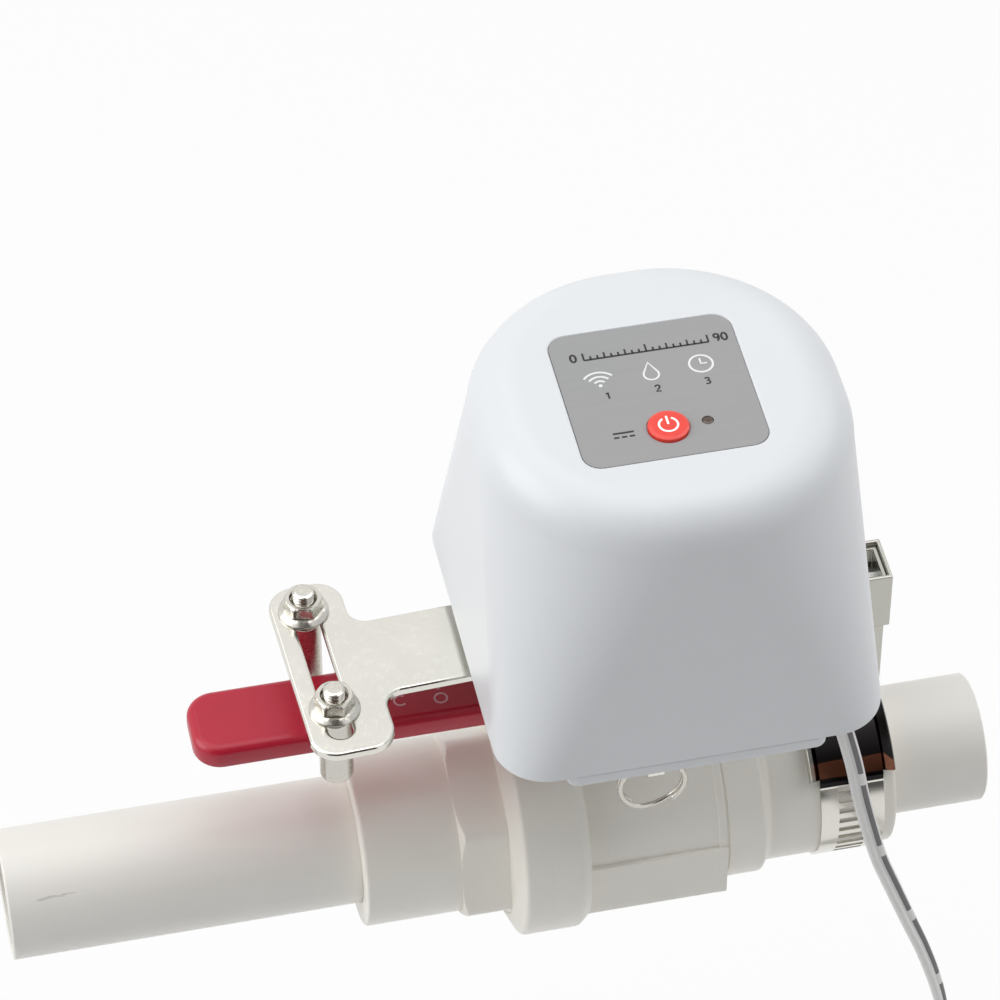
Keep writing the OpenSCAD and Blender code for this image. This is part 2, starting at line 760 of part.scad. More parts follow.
module flange_nuts() {
  color("silver") at_posts() translate([0, 0, arm_z]) difference() {
    union() {
      rod_z(0, nut_lip, nut_flange_r);
      translate([0, 0, nut_lip - eps]) cylinder(h = 1, r1 = nut_flange_r - 0.6, r2 = nut_af / 2);
      intersection() {
        hex_z(0, nut_h, nut_af);
        translate([0, 0, nut_h / 2]) sphere(nut_af / 2 + 1.2);
      }
    }
    rod_z(-eps, nut_h + eps, thread_r);
  }
}

// The gear train
module output_shaft() {
  color("gray") at_stem() difference() {
    union() {
      rotate([0, 0, arm_lead])
        box(-arm_square / 2, arm_square / 2, -arm_square / 2, arm_square / 2, arm_low, arm_z + eps);
      rod_z(arm_z, shaft_top, shaft_r);
    }
    rod_z(arm_low - eps, arm_low - washer_t + arm_screw_len + lap, thread_r);
  }
}

module output_gear() {
  color("whitesmoke") at_stem() difference() {
    union() {
      translate([0, 0, gear_low]) rotate(mesh_angle) linear_extrude(gear_t) gear_outline(gear_n, backlash);
      rod_z(floor_z + bush_lip_t + lift, gear_top, gear_hub_r);
    }
    rod_z(floor_z, gear_top + eps, shaft_r);
    for (a = [0:60:300]) rotate(a + 30) translate([(gear_r + gear_hub_r) / 2, 0, 0])
      rod_z(gear_low - eps, gear_top + eps, 4);
  }
}

module limit_cam() {
  color("dimgray") at_stem() translate([0, 0, cam_low]) linear_extrude(cam_t) difference() {
    union() {
      circle(cam_r);
      translate([cam_r - lap, -cam_nose_w / 2]) square([cam_nose + lap, cam_nose_w]);
    }
    circle(shaft_r);
  }
}

// One switch for each end of the quarter turn
module limit_switches() {
  reach = cam_r + cam_nose + switch_tip + lift;
  color("black") at_stem() for (a = [0, -90]) rotate(a) {
    box(reach, reach + limit_d, -limit_w / 2, limit_w / 2, cam_low, plate_z);
    box(reach - switch_tip, reach + eps, -switch_tip, switch_tip, cam_low + 1, cam_low + cam_t - 1);
  }
}

module base_bush() {
  color("goldenrod") at_stem() difference() {
    union() {
      rod_z(foot_z, floor_z, bush_r);
      rod_z(floor_z, floor_z + bush_lip_t, bush_lip_r);
    }
    rod_z(foot_z - eps, floor_z + bush_lip_t + eps, shaft_r + run_gap);
  }
}

module plate_bush() {
  color("goldenrod") at_stem() difference() {
    union() {
      rod_z(plate_z, plate_z + plate_t, bush_r);
      rod_z(plate_z - bush_lip_t, plate_z, bush_lip_r);
    }
    rod_z(plate_z - bush_lip_t - eps, plate_z + plate_t + eps, shaft_r + run_gap);
  }
}

module gear_plate() {
  color("silver") at_stem() translate([0, 0, plate_z]) linear_extrude(plate_t) difference() {
    translate([0, (plate_front + plate_back) / 2]) round_rect(2 * plate_x, plate_back - plate_front, 8);
    circle(bush_r);
    at_pinion() circle(motor_shaft_r + 2);
    at_pinion() for (s = [-1, 1]) translate([s * motor_pitch, 0]) circle(screw_r);
    at_stands() circle(screw_r);
  }
}

module gear_plate_screws() {
  color("silver") at_stem() at_stands() translate([0, 0, plate_z + plate_t]) screw(plate_screw_len);
}

module gear_motor() {
  low = plate_z + plate_t;
  color("dimgray") at_stem() at_pinion() difference() {
    union() {
      rod_z(low, low + motor_len * 0.55, motor_r);
      rod_z(low, low + motor_len, motor_r - 0.6);
    }
    rod_z(low - eps, low + motor_shaft_in + lift, motor_shaft_r + run_gap);
    for (s = [-1, 1]) translate([s * motor_pitch, 0, 0]) rod_z(low - eps, low + 4, screw_r);
  }
}

module motor_screws() {
  color("silver") at_stem() at_pinion() for (s = [-1, 1])
    translate([s * motor_pitch, 0, plate_z]) screw(plate_t + 3, -1);
}

module motor_coupler() {
  color("silver") at_stem() at_pinion() {
    rod_z(pinion_top + lift, coupler_top, coupler_r);
    intersection() {
      box(-coupler_r, coupler_r, -dog_w / 2, dog_w / 2, pinion_top - dog_h + lift, pinion_top + lap);
      rod_z(pinion_top - dog_h, pinion_top + lap, dog_r);
    }
    rod_z(coupler_top - eps, plate_z + plate_t + motor_shaft_in, motor_shaft_r);
  }
}

module drive_pinion() {
  color("silver") at_stem() at_pinion() difference() {
    translate([0, 0, pinion_low]) rotate(mesh_angle + 180 + 180 / pinion_n)
      linear_extrude(pinion_top - pinion_low) gear_outline(pinion_n, backlash);
    rod_z(pinion_low - eps, pinion_top + eps, pin_r + run_gap);
    box(-pinion_r * 2, pinion_r * 2, -dog_w / 2 - lift, dog_w / 2 + lift, pinion_top - dog_h, pinion_top + 1);
  }
}

module clutch_pin() {
  color("silver") at_stem() at_pinion() difference() {
    union() {
      rod_z(ring_axis_z + 1, pinion_top - dog_h - lift, pin_r);
      rod_z(spring_top, pinion_low, pin_collar_r);
      translate([-eye_t / 2, 0, ring_axis_z]) rod_x(0, eye_t, eye_out);
    }
    translate([-eye_t, 0, ring_axis_z]) rod_x(0, 2 * eye_t, eye_r);
  }
}

spring_rise = spring_top - spring_floor - 2 * spring_wire - 2 * seat_gap;
spring_path = [for (i = [0:8 * spring_turns]) let (a = 45 * i)
  [spring_r * cos(a), spring_r * sin(a), spring_floor + spring_wire + seat_gap + spring_rise * i / 8 / spring_turns]];
module clutch_spring() {
  color("silver") at_stem() at_pinion() tube([for (i = [0:len(spring_path) - 1])
    ring_at(spring_path[i], tangent(spring_path, i), [0, 0, 1], round_section(spring_wire, 6))]);
}

module pull_ring() {
  color("silver") at_stem() at_pinion() translate([0, 0, ring_axis_z - ring_r]) rotate([90, 0, 0])
    for (s = [-1, 1]) translate([0, 0, s * ring_wire * 0.9])
      rotate_extrude() translate([ring_r, 0]) circle(ring_wire);
}

// The housing
module cover_form(inset, low) {
  hull() {
    at_cover() at_corners(cover_half - cover_round, cover_half - cover_round)
      translate([0, 0, low]) cylinder(h = 1, r = cover_round - inset, $fn = 32);
    at_cover() at_corners(top_half_x - top_round, top_half_y - top_round)
      translate([0, 0, top_centre_z]) rotate_extrude($fn = 64)
        translate([top_ring_r, 0]) circle(top_fillet - inset, $fn = 32);
  }
}

module housing_cover() {
  color("white") at_stem() difference() {
    cover_form(0, cover_z);
    difference() {
      cover_form(cover_wall, cover_z - 1);
      at_cover() at_corners(boss_at, boss_at) rod_z(floor_z, floor_z + cover_boss_h, boss_r);
      at_board_holes() rod_z(board_top, cover_top, boss_r);
    }
    at_cover() at_corners(boss_at, boss_at) rod_z(floor_z - eps, cover_z + cover_screw_len + lift, screw_r);
    at_board_holes() rod_z(board_top - eps, board_top + 4, screw_r);
    translate([panel_x, panel_y, panel_low]) linear_extrude(panel_t + 1)
      round_rect(panel_side + 2 * seat_gap, panel_side + 2 * seat_gap, panel_round);
    at_button() rod_z(board_top, cover_top, button_r + button_gap);
    at_led() rod_z(board_top, cover_top, led_r + seat_gap);
  }
}

module base_plate() {
  side = 2 * (cover_half - cover_wall - base_fit);
  foot_mid = (foot_front + foot_back) / 2;
  base_round = cover_round - cover_wall + 2;
  color("gainsboro") at_stem() difference() {
    union() {
      at_cover() translate([0, 0, cover_z - eps])
        linear_extrude(base_t + eps) round_rect(side, side, base_round);
      translate([cover_dx, foot_mid, foot_z]) linear_extrude(foot_drop)
        round_rect(2 * foot_half, foot_back - foot_front, foot_round);
      at_stands() rod_z(floor_z - eps, plate_z, stand_r);
    }
    rod_z(foot_z - eps, floor_z + eps, bush_r);
    at_pinion() rod_z(foot_z - eps, floor_z + eps, pin_r + pin_gap);
    at_pinion() rod_z(spring_floor, floor_z + eps, pin_collar_r + 0.6);
    at_stands() rod_z(plate_z + plate_t - plate_screw_len - lift, plate_z + eps, screw_r);
    at_cover() at_corners(boss_at, boss_at) rod_z(cover_z - eps, floor_z + eps, screw_r + 0.2);
    translate([grommet_x, grommet_y, 0]) rod_z(cover_z - eps, floor_z + eps, grommet_r);
    at_tongue() rod_z(foot_z - eps, foot_z + 4, screw_r);
  }
}

module cover_screws() {
  color("silver") at_stem() at_cover() at_corners(boss_at, boss_at)
    translate([0, 0, cover_z - eps]) screw(cover_screw_len, -1);
}

// The top panel, its button and the board under it
module label_panel() {
  color("silver") at_stem() difference() {
    translate([panel_x, panel_y, panel_low])
      linear_extrude(panel_t) round_rect(panel_side, panel_side, panel_round);
    at_button() rod_z(panel_low - eps, cover_top + eps, button_r + button_gap);
    at_led() rod_z(panel_low - eps, cover_top + eps, led_r + seat_gap);
  }
}

module power_button() {
  crown = 0.5;
  color("tomato") at_stem() at_button() {
    rod_z(button_flange_z, cover_top + button_proud - crown, button_r);
    translate([0, 0, cover_top + button_proud - crown - eps])
      cylinder(h = crown, r1 = button_r, r2 = button_r - crown);
    rod_z(button_flange_z, button_flange_z + button_flange_t, button_flange_r);
    rod_z(button_flange_z - button_stem, button_flange_z + eps, 1.7);
  }
}

module status_led() {
  color("saddlebrown") at_stem() at_led() {
    rod_z(board_top, cover_top - 0.2, led_r);
    rod_z(board_top, board_top + 1.5, led_r + 0.9);
  }
}

module circuit_board() {
  color("seagreen") at_stem() difference() {
    translate([panel_x - board_w / 2, panel_y - board_d / 2, board_top - board_t])
      cube([board_w, board_d, board_t]);
    at_board_holes() rod_z(board_top - board_t - eps, board_top + eps, screw_r);
  }
}

module tact_switch() {
  color("black") at_stem() at_button()
    box(-switch_side / 2, switch_side / 2, -switch_side / 2, switch_side / 2, board_top, switch_top);
}

module board_screws() {
  color("silver") at_stem() at_board_holes() translate([0, 0, board_top - board_t]) screw(5.4, -1);
}

module cable_grommet() {
  color("white") at_stem() translate([grommet_x, grommet_y, 0]) difference() {
    union() {
      rod_z(grommet_z, floor_z + 2, grommet_r);
      rod_z(floor_z, floor_z + 2, grommet_r + 1);
    }
    translate([0, 0, grommet_z + 2]) linear_extrude(floor_z) square([cord_w, cord_t], center = true);
  }
}

// The bracket, its leg and the hose clamp
module bracket() {
  low = bracket_top - bracket_h;
  half = bracket_w / 2;
  color("silver") at_stem() difference() {
    union() {
      box(bracket_x - sheet_t, bracket_x, -half, half, low, bracket_top);
      for (s = [0, 1]) mirror([0, s, 0]) box(channel_start, bracket_x, half - sheet_t, half, low, bracket_top);
      box(tongue_start, channel_start + 2, -half, half, tongue_top - tongue_t, tongue_top);
    }
    translate([0, 0, leg_screw_z]) rod_x(channel_start, bracket_x + eps, leg_screw_r + seat_gap);
    at_tongue() rod_z(tongue_top - tongue_t - eps, tongue_top + eps, screw_r);
  }
}

module bracket_screws() {
  color("silver") at_stem() at_tongue() translate([0, 0, tongue_top - tongue_t]) screw(tongue_t + 3.5, -1);
}

module saddle_leg() {
  half = leg_w / 2;
  right = band_x + band_w + 0.7;
  left = band_x - 0.7;
  top = bracket_top - 1.2;
  color("silver") at_stem() difference() {
    union() {
      arc_x(90 - saddle_half, 2 * saddle_half) polygon([[saddle_r, left], [saddle_r, right],
        [saddle_r + ear_rise, right + ear], [saddle_out + ear_rise, right + ear - 0.6], [saddle_out, right - 0.6],
        [saddle_out, left + 0.6], [saddle_out + ear_rise, left - ear + 0.6], [saddle_r + ear_rise, left - ear]]);
      box(leg_x - sheet_t, leg_x, -half, half, saddle_out - 0.6, top);
      for (s = [0, 1]) mirror([0, s, 0]) box(leg_start, leg_x, half - sheet_t, half, leg_low, top);
    }
    rod_x(band_x - 8, outlet_face + 8, saddle_r);
    translate([0, 0, leg_screw_z]) rod_x(leg_start, leg_x + eps, leg_screw_r + seat_gap);
  }
}

module leg_screw() {
  color("gray") at_stem() translate([0, 0, leg_screw_z]) rod_x(leg_x - sheet_t - 5, bracket_x, leg_screw_r);
}

module leg_nut() {
  color("silver") at_stem() translate([0, 0, leg_screw_z]) difference() {
    hex_x(leg_x - sheet_t - 3.2, leg_x - sheet_t, 3.5 * leg_screw_r);
    rod_x(leg_x - sheet_t - 4, leg_x, leg_screw_r);
  }
}

// The band's profile, with the pipe's +Z to its left: it steps out over the saddle
module band_profile() {
  over = saddle_half + 2;
  down = saddle_half + 6;
  skin = 0.05;
  difference() {
    circle(band_r + band_t);
    circle(band_r);
    wedge(down);
  }
  intersection() {
    difference() {
      circle(band_over_r + band_t);
      circle(band_over_r);
    }
    wedge(over);
  }
  ramp = [[over - 1, band_over_r + skin], [down + 1, band_r + skin],
          [down + 1, band_r + band_t - skin], [over - 1, band_over_r + band_t - skin]];
  polygon([for (k = ramp) k[1] * [-cos(k[0]), sin(k[0])]]);
  polygon([for (i = [3:-1:0]) ramp[i][1] * [-cos(ramp[i][0]), -sin(ramp[i][0])]]);
}

module wedge(half) {
  far = 2 * socket_r;
  polygon([[0, 0], [-far, far * tan(half)], [-far, -far * tan(half)]]);
}

module clamp_band() {
  color("silver") at_stem() difference() {
    along_x(band_x) linear_extrude(band_w) band_profile();
    for (i = [0:slot_count - 1]) about_pipe(slot_from + slot_pitch * i)
      translate([band_x + band_w / 2 - slot_l / 2, band_r - lap, -slot_t / 2])
        cube([slot_l, band_t + 2 * lap, slot_t]);
  }
}

module at_worm() { about_pipe(worm_at) translate([band_x + band_w / 2, 0, 0]) children(); }

module clamp_housing() {
  color("silver") at_stem() difference() {
    at_worm() translate([-worm_house / 2, band_r, -worm_half])
      cube([worm_house, worm_axis - band_r + worm_r + 1, 2 * worm_half]);
    at_worm() translate([0, worm_axis, -worm_half - 1]) cylinder(h = 2 * worm_half + 2, r = worm_r + lift);
    rod_x(band_x - 1, band_x + band_w + 1, band_r + band_t + run_gap);
  }
}

module clamp_screw() {
  color("gray") at_stem() at_worm() translate([0, worm_axis, 0]) difference() {
    union() {
      rod_z(-worm_half - 1, worm_half + 1, worm_r);
      hex_z(worm_half + 1 - eps, worm_head, 2 * worm_r);
    }
    box(-worm_r - lap, worm_r + lap, -0.5, 0.5, worm_head - 1.5, worm_head + eps);
  }
}

// The cord
module power_cord() {
  color("white") at_stem() tube([for (i = [0:len(cord_path) - 1])
    ring_at(cord_path[i], cord_way[i], cord_side(i), flat_section(8))]);
}

module cord_coil() { color("white") at_stem() tube(coil_tube); }

module cord_tie() {
  in_x = coil_radius(coil_sweep / 2) - cord_t / 2 - tie_gap;
  out_x = coil_r + cord_t / 2 + tie_gap;
  low_y = -cord_w / 2 - tie_gap;
  high_y = coil_layer + cord_w / 2 + tie_gap;
  color("black") at_stem() translate(coil_at) difference() {
    box(-out_x - tie_t, -in_x + tie_t, low_y - tie_t, high_y + tie_t, -tie_w / 2, tie_w / 2);
    box(-out_x, -in_x, low_y, high_y, -tie_w, tie_w);
  }
}

module dc_socket() {
  color("black") at_stem() translate(coil_end + [0, 0, -coil_tail]) difference() {
    union() {
      rod_z(-socket_len, -8, socket_body_r);
      translate([0, 0, -8 - eps]) cylinder(h = 8, r1 = socket_body_r, r2 = 3);
    }
    difference() {
      rod_z(-socket_len - eps, 10 - socket_len, 2.8);
      rod_z(-socket_len, 11 - socket_len, 1);
    }
  }
}

inlet_pipe();
outlet_pipe();
end_connector();
valve_body();
body_seal();
valve_ball();
ball_seats();
valve_stem();
stem_seals();
gland_nut();
lever_bar();
lever_grip();
lever_nut();
arm_plate();
arm_washer();
arm_screw();
drive_posts();
flange_nuts();
output_shaft();
output_gear();
limit_cam();
limit_switches();
base_bush();
plate_bush();
gear_plate();
gear_plate_screws();
gear_motor();
motor_screws();
motor_coupler();
drive_pinion();
clutch_pin();
clutch_spring();
pull_ring();
base_plate();
housing_cover();
cover_screws();
label_panel();
power_button();
status_led();
circuit_board();
tact_switch();
board_screws();
cable_grommet();
bracket();
bracket_screws();
saddle_leg();
leg_screw();
leg_nut();
clamp_band();
clamp_housing();
clamp_screw();
power_cord();
cord_coil();
cord_tie();
dc_socket();
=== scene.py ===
import math
import bmesh
import bpy
from mathutils import Matrix, Vector


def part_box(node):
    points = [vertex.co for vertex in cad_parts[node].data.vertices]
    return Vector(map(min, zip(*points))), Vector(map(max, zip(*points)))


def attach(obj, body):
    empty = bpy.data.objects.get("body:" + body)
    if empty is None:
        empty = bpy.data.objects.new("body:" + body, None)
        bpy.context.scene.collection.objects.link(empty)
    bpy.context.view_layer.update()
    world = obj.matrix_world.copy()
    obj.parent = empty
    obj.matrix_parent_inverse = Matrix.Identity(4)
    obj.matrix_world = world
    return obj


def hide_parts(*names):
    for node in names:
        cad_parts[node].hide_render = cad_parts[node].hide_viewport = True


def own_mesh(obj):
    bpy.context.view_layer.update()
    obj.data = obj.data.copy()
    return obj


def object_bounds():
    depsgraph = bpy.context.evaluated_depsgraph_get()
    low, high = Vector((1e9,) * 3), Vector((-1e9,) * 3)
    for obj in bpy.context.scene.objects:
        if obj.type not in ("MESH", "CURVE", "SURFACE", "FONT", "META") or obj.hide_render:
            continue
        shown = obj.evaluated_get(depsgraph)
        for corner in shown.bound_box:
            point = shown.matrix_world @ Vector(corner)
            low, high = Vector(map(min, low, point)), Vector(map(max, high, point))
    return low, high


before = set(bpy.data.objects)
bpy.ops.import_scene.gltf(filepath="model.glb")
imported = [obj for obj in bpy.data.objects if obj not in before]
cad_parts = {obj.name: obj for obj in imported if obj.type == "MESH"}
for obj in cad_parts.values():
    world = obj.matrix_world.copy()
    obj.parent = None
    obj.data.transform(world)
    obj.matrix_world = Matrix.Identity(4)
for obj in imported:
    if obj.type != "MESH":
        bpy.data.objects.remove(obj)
cad_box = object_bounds()

# The studio: a pale floor under the hanging cord and a white surround. One broad lamp hangs overhead
# and two stand on the left and the right, so that the cover's top and left side are bright and its
# front is in shade.
LENS, SENSOR, FAR_CLIP = 180, 36, 20
CAMERA_AT = (-0.0464, -0.7863, 0.9397)
LOOK = Vector((0.14719, 0.68081, -0.71752)).normalized()
LEVEL = Vector((0.97742, -0.21132, 0)).normalized()
scene = bpy.context.scene
camera = bpy.data.objects.new("camera", bpy.data.cameras.new("camera"))
camera.data.lens, camera.data.sensor_width, camera.data.clip_end = LENS, SENSOR, FAR_CLIP
camera.rotation_mode = "QUATERNION"
turn = Matrix((LEVEL, LEVEL.cross(LOOK), -LOOK)).transposed()
camera.rotation_quaternion = turn.to_quaternion()
camera.location = CAMERA_AT
scene.collection.objects.link(camera)
scene.camera = camera
scene.view_settings.view_transform = "Standard"


class Signal:
    """A socket of a shader tree. Sums and products of signals add Math nodes to the tree."""

    def __init__(self, tree, socket=None):
        self.tree, self.socket = tree, socket

    def node(self, kind, settings=(), sockets=(), out=0):
        """Adds a node, sets it up, fills or links its sockets and returns one of its outputs."""
        made = self.tree.nodes.new("ShaderNode" + kind)
        for name, value in dict(settings).items():
            setattr(made, name, value)
        for name, value in dict(sockets).items():
            if isinstance(value, Signal):
                self.tree.links.new(value.socket, made.inputs[name])
            else:
                made.inputs[name].default_value = value
        return Signal(self.tree, made.outputs[out])

    def feed(self, socket):
        self.tree.links.new(self.socket, socket)

    def math(self, operation, a, b):
        return self.node("Math", {"operation": operation}, {0: a, 1: b})

    def __add__(self, other):
        return self.math("ADD", self, other)

    def __radd__(self, other):
        return self.math("ADD", other, self)

    def __sub__(self, other):
        return self.math("SUBTRACT", self, other)

    def __rsub__(self, other):
        return self.math("SUBTRACT", other, self)

    def __mul__(self, other):
        return self.math("MULTIPLY", self, other)

    def __rmul__(self, other):
        return self.math("MULTIPLY", other, self)

    def __mod__(self, other):
        return self.math("MODULO", self, other)

    def __rmod__(self, other):
        return self.math("MODULO", other, self)

    def __gt__(self, other):
        return self.math("GREATER_THAN", self, other)

    def __lt__(self, other):
        return self.math("LESS_THAN", self, other)

    def mix(self, a, b):
        """A colour between a and b, by this signal."""
        return self.node("Mix", {"data_type": "RGBA"}, {0: self, 6: a, 7: b}, out=2)

    def noise(self, scale, detail=2.0, stretch=(1, 1, 1)):
        """A noise in the part's own metres, stretched along its axes."""
        place = self.node("TexCoord", out="Object")
        if stretch != (1, 1, 1):
            place = self.node("Mapping", (), {"Vector": place, "Scale": stretch})
        return self.node("TexNoise", (), {"Vector": place, "Scale": scale, "Detail": detail})

    def bump(self, strength, distance):
        """A normal, with this signal as the height."""
        return self.node("Bump", (), {"Strength": strength, "Distance": distance, "Height": self})

    def seen(self):
        """One for rays that show the backdrop: from the camera, from gloss and through glass."""
        paths = [self.node("LightPath", out=name) for name in
                 ("Is Camera Ray", "Is Glossy Ray", "Is Transmission Ray")]
        return self.math("MINIMUM", paths[0] + paths[1] + paths[2], 1.0)


AMBIENT, WHITE = (0.27, 0.27, 0.273, 1), (1, 1, 1, 1)
world = bpy.data.worlds.new("surround")
world.use_nodes = True
scene.world = world
sky = Signal(world.node_tree)
sky.seen().mix(AMBIENT, WHITE).feed(world.node_tree.nodes["Background"].inputs["Color"])


def finish(name, fixed):
    """A new material: itself, a signal to start from, and its shader's sockets."""
    made = bpy.data.materials.new(name)
    made.use_nodes = True
    shader = made.node_tree.nodes["Principled BSDF"]
    for socket, value in fixed.items():
        shader.inputs[socket].default_value = value
    return made, Signal(made.node_tree), shader.inputs


def backdrop(name, points, faces, materials):
    """A sheet of the studio, from points in metres."""
    mesh = bpy.data.meshes.new(name)
    mesh.from_pydata(points, [], faces)
    for material in materials:
        mesh.materials.append(material)
    made = bpy.data.objects.new(name, mesh)
    scene.collection.objects.link(made)
    return made


FLOOR_HALF, FLOOR_GAP, FLOOR_GLOW = 8.0, 0.004, 0.9
floor_z = cad_box[0][2] - FLOOR_GAP
paper, s, into = finish("paper", {"Base Color": (0.85, 0.85, 0.85, 1), "Roughness": 0.9})
glow = s.node("Emission", (), {"Color": WHITE, "Strength": 1.0})
plain = Signal(s.tree, s.tree.nodes["Principled BSDF"].outputs[0])
veil = s.node("MixShader", (), {0: s.seen() * FLOOR_GLOW, 1: plain, 2: glow})
veil.feed(s.tree.nodes["Material Output"].inputs["Surface"])
floor = backdrop("floor", [(x * FLOOR_HALF, y * FLOOR_HALF, floor_z) for x, y in
                           ((-1, -1), (1, -1), (1, 1), (-1, 1))], [(0, 1, 2, 3)], [paper])

LAMP_AIM = Vector((0.16, 0, 0.06))
for name, place, size, power in (
        ("top_lamp", (-0.10, 0.20, 1.50), 1.6, 10.5),
        ("left_lamp", (-1.10, 0.15, 0.75), 1.0, 10.3),
        ("right_lamp", (0.95, 0.10, 0.85), 1.0, 4.8)):
    lamp = bpy.data.objects.new(name, bpy.data.lights.new(name, "AREA"))
    lamp.data.size, lamp.data.energy = size, power
    lamp.location = place
    lamp.rotation_mode = "QUATERNION"
    lamp.rotation_quaternion = (LAMP_AIM - Vector(place)).to_track_quat("-Z", "Y")
    scene.collection.objects.link(lamp)

# A dark cloth with a brown band hangs behind the camera. Only polished metal finds it:
# it gives the nuts, the saddle and the arm's edge the dark side that they have in a room.
CLOTH_AT, CLOTH_R, CLOTH_MID, CLOTH_STEP = Vector((0.16, 0, 0.05)), 1.8, -102, 9
CLOTH_RISES, CLOTH_SPANS, BROWN_BAND = (-2, 26, 50, 78), 8, 1
cloth_points, cloth_faces = [], []
for rise in CLOTH_RISES:
    e = math.radians(rise)
    for k in range(CLOTH_SPANS + 1):
        a = math.radians(CLOTH_MID + CLOTH_STEP * (k - CLOTH_SPANS // 2))
        way = Vector((math.cos(a) * math.cos(e), math.sin(a) * math.cos(e), math.sin(e)))
        cloth_points.append(CLOTH_AT + CLOTH_R * way)
for band in range(len(CLOTH_RISES) - 1):
    low, high = ((CLOTH_SPANS + 1) * (band + k) for k in (0, 1))
    cloth_faces += [(low + k, low + k + 1, high + k + 1, high + k) for k in range(CLOTH_SPANS)]
felts = [finish(name, {"Base Color": shade, "Roughness": 1.0})[0] for name, shade in (
    ("cloth_black", (0.02, 0.02, 0.02, 1)), ("cloth_brown", (0.16, 0.085, 0.055, 1)))]
cloth = backdrop("cloth", cloth_points, cloth_faces, felts)
cloth.data.polygons.foreach_set("material_index", [int(k // CLOTH_SPANS == BROWN_BAND)
                                                   for k in range(len(cloth_faces))])
cloth.visible_camera = cloth.visible_diffuse = False
cloth.visible_transmission = cloth.visible_shadow = False

# The power cord: a flat twin lead in white vinyl, with a broken grey stripe on one core.
# It hangs from its grommet, turns edge-on as it falls and ends in a coil under a tie.
MM = 0.001
STEM = 160.0
BODY = "valve_and_housing"


def row(p):
    """A point in millimetres from the stem's axis, as metres in the part's frame."""
    return ((p[0] + STEM) * MM, p[1] * MM, p[2] * MM)


def srgb(r, g, b):
    """A colour by its eight-bit screen values."""
    return tuple(((c / 255 + 0.055) / 1.055) ** 2.4 if c > 10 else c / 255 / 12.92
                 for c in (r, g, b)) + (1,)


def settle(name, mesh, material, body, stands_for=(), crease=35):
    """Shades a mesh smooth up to its creases and puts it on its body."""
    mesh.polygons.foreach_set("use_smooth", [True] * len(mesh.polygons))
    mesh.set_sharp_from_angle(angle=math.radians(crease))
    mesh.materials.clear()
    mesh.materials.append(material)
    made = bpy.data.objects.new(name, mesh)
    scene.collection.objects.link(made)
    made.modifiers.new("even", "WEIGHTED_NORMAL").keep_sharp = True
    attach(made, body)
    if stands_for:
        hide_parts(*stands_for)
    return made


def piece(name, form, material, body, stands_for=(), crease=35):
    """A mesh from a form's points, in millimetres, and faces, standing for its nodes on a body."""
    points, faces = form
    mesh = bpy.data.meshes.new(name)
    mesh.from_pydata([row(p) for p in points], [], faces)
    outward = bmesh.new()
    outward.from_mesh(mesh)
    bmesh.ops.recalc_face_normals(outward, faces=outward.faces)
    outward.to_mesh(mesh)
    outward.free()
    return settle(name, mesh, material, body, stands_for, crease)


def skin(loops, ring=False):
    """A form through loops of equally many points: its points and its faces."""
    n, m = len(loops[0]), len(loops)
    faces = [(i * n + k, i * n + (k + 1) % n, (i + 1) % m * n + (k + 1) % n, (i + 1) % m * n + k)
             for i in range(m if ring else m - 1) for k in range(n)]
    if not ring:
        faces += [tuple(range(n))[::-1], tuple(range((m - 1) * n, m * n))]
    return [p for loop in loops for p in loop], faces


CORD_W, CORD_T, CORD_STEPS = 4.4, 2.2, 5
CORD_RUN = [(37, -31, 67.1), (37.2, -31.8, 62), (38, -34.5, 57), (39.3, -37, 52), (41.6, -38, 42),
            (43.6, -39, 31), (45.8, -40, 21), (48.7, -41, 9.5), (52.7, -42, -2), (57, -43, -14),
            (61, -44, -25), (64.6, -45, -37), (67.2, -45.8, -49)]
COIL_AT, COIL_R, COIL_STEP, COIL_LAYER = Vector((65, -46, -101)), 27, 3, 5.2
COIL_TURNS, COIL_START, COIL_ANGLE, LEAD_R, COIL_TAIL = 6, 65, 10, 12, 20
coil_sweep = 360 * COIL_TURNS + COIL_START
coil_rings = coil_sweep // COIL_ANGLE


def polar(angle, r):
    """A step of a radius at an angle, in the coil's plane."""
    a = math.radians(angle)
    return Vector((r * math.cos(a), 0, r * math.sin(a)))


def coil_point(sweep):
    """A point of the coil, which winds inward, climbs to its second layer and winds outward."""
    climb = COIL_LAYER * min(1, max(0, (sweep - coil_sweep / 2 + 90) / 180))
    r = COIL_R - COIL_STEP / 360 * min(sweep, coil_sweep - sweep)
    return COIL_AT + polar(COIL_START - sweep, r) + Vector((0, climb, 0))


coil_path = [coil_point(coil_sweep * i / coil_rings) for i in range(coil_rings + 1)]
coil_path += [coil_path[-1] - Vector((0, 0, COIL_TAIL * k / 4)) for k in (1, 2, 3, 4)]
lead_mid = coil_path[0] - polar(180 + COIL_START, LEAD_R)
knots = [Vector(p) for p in CORD_RUN]
knots += [lead_mid + polar(180 + COIL_START * k / 2, LEAD_R) for k in (0, 1, 2)]
hang_path, hang_at = [], []
for i in range(len(knots) - 1):
    before = knots[i - 1] if i else knots[0] + Vector((0, 0, 5))
    after = knots[i + 2] if i + 2 < len(knots) else coil_path[2]
    for k in range(CORD_STEPS):
        t = k / CORD_STEPS
        a, b = knots[i], knots[i + 1]
        hang_path.append(0.5 * (2 * a + (b - before) * t
                                + (2 * before - 5 * a + 4 * b - after) * t * t
                                + (3 * a - 3 * b + after - before) * t ** 3))
        hang_at.append((i + t) / (len(knots) - 1))
cord_path = hang_path + coil_path
cord_turn = [90 * t * t for t in hang_at] + [90] * len(coil_path)

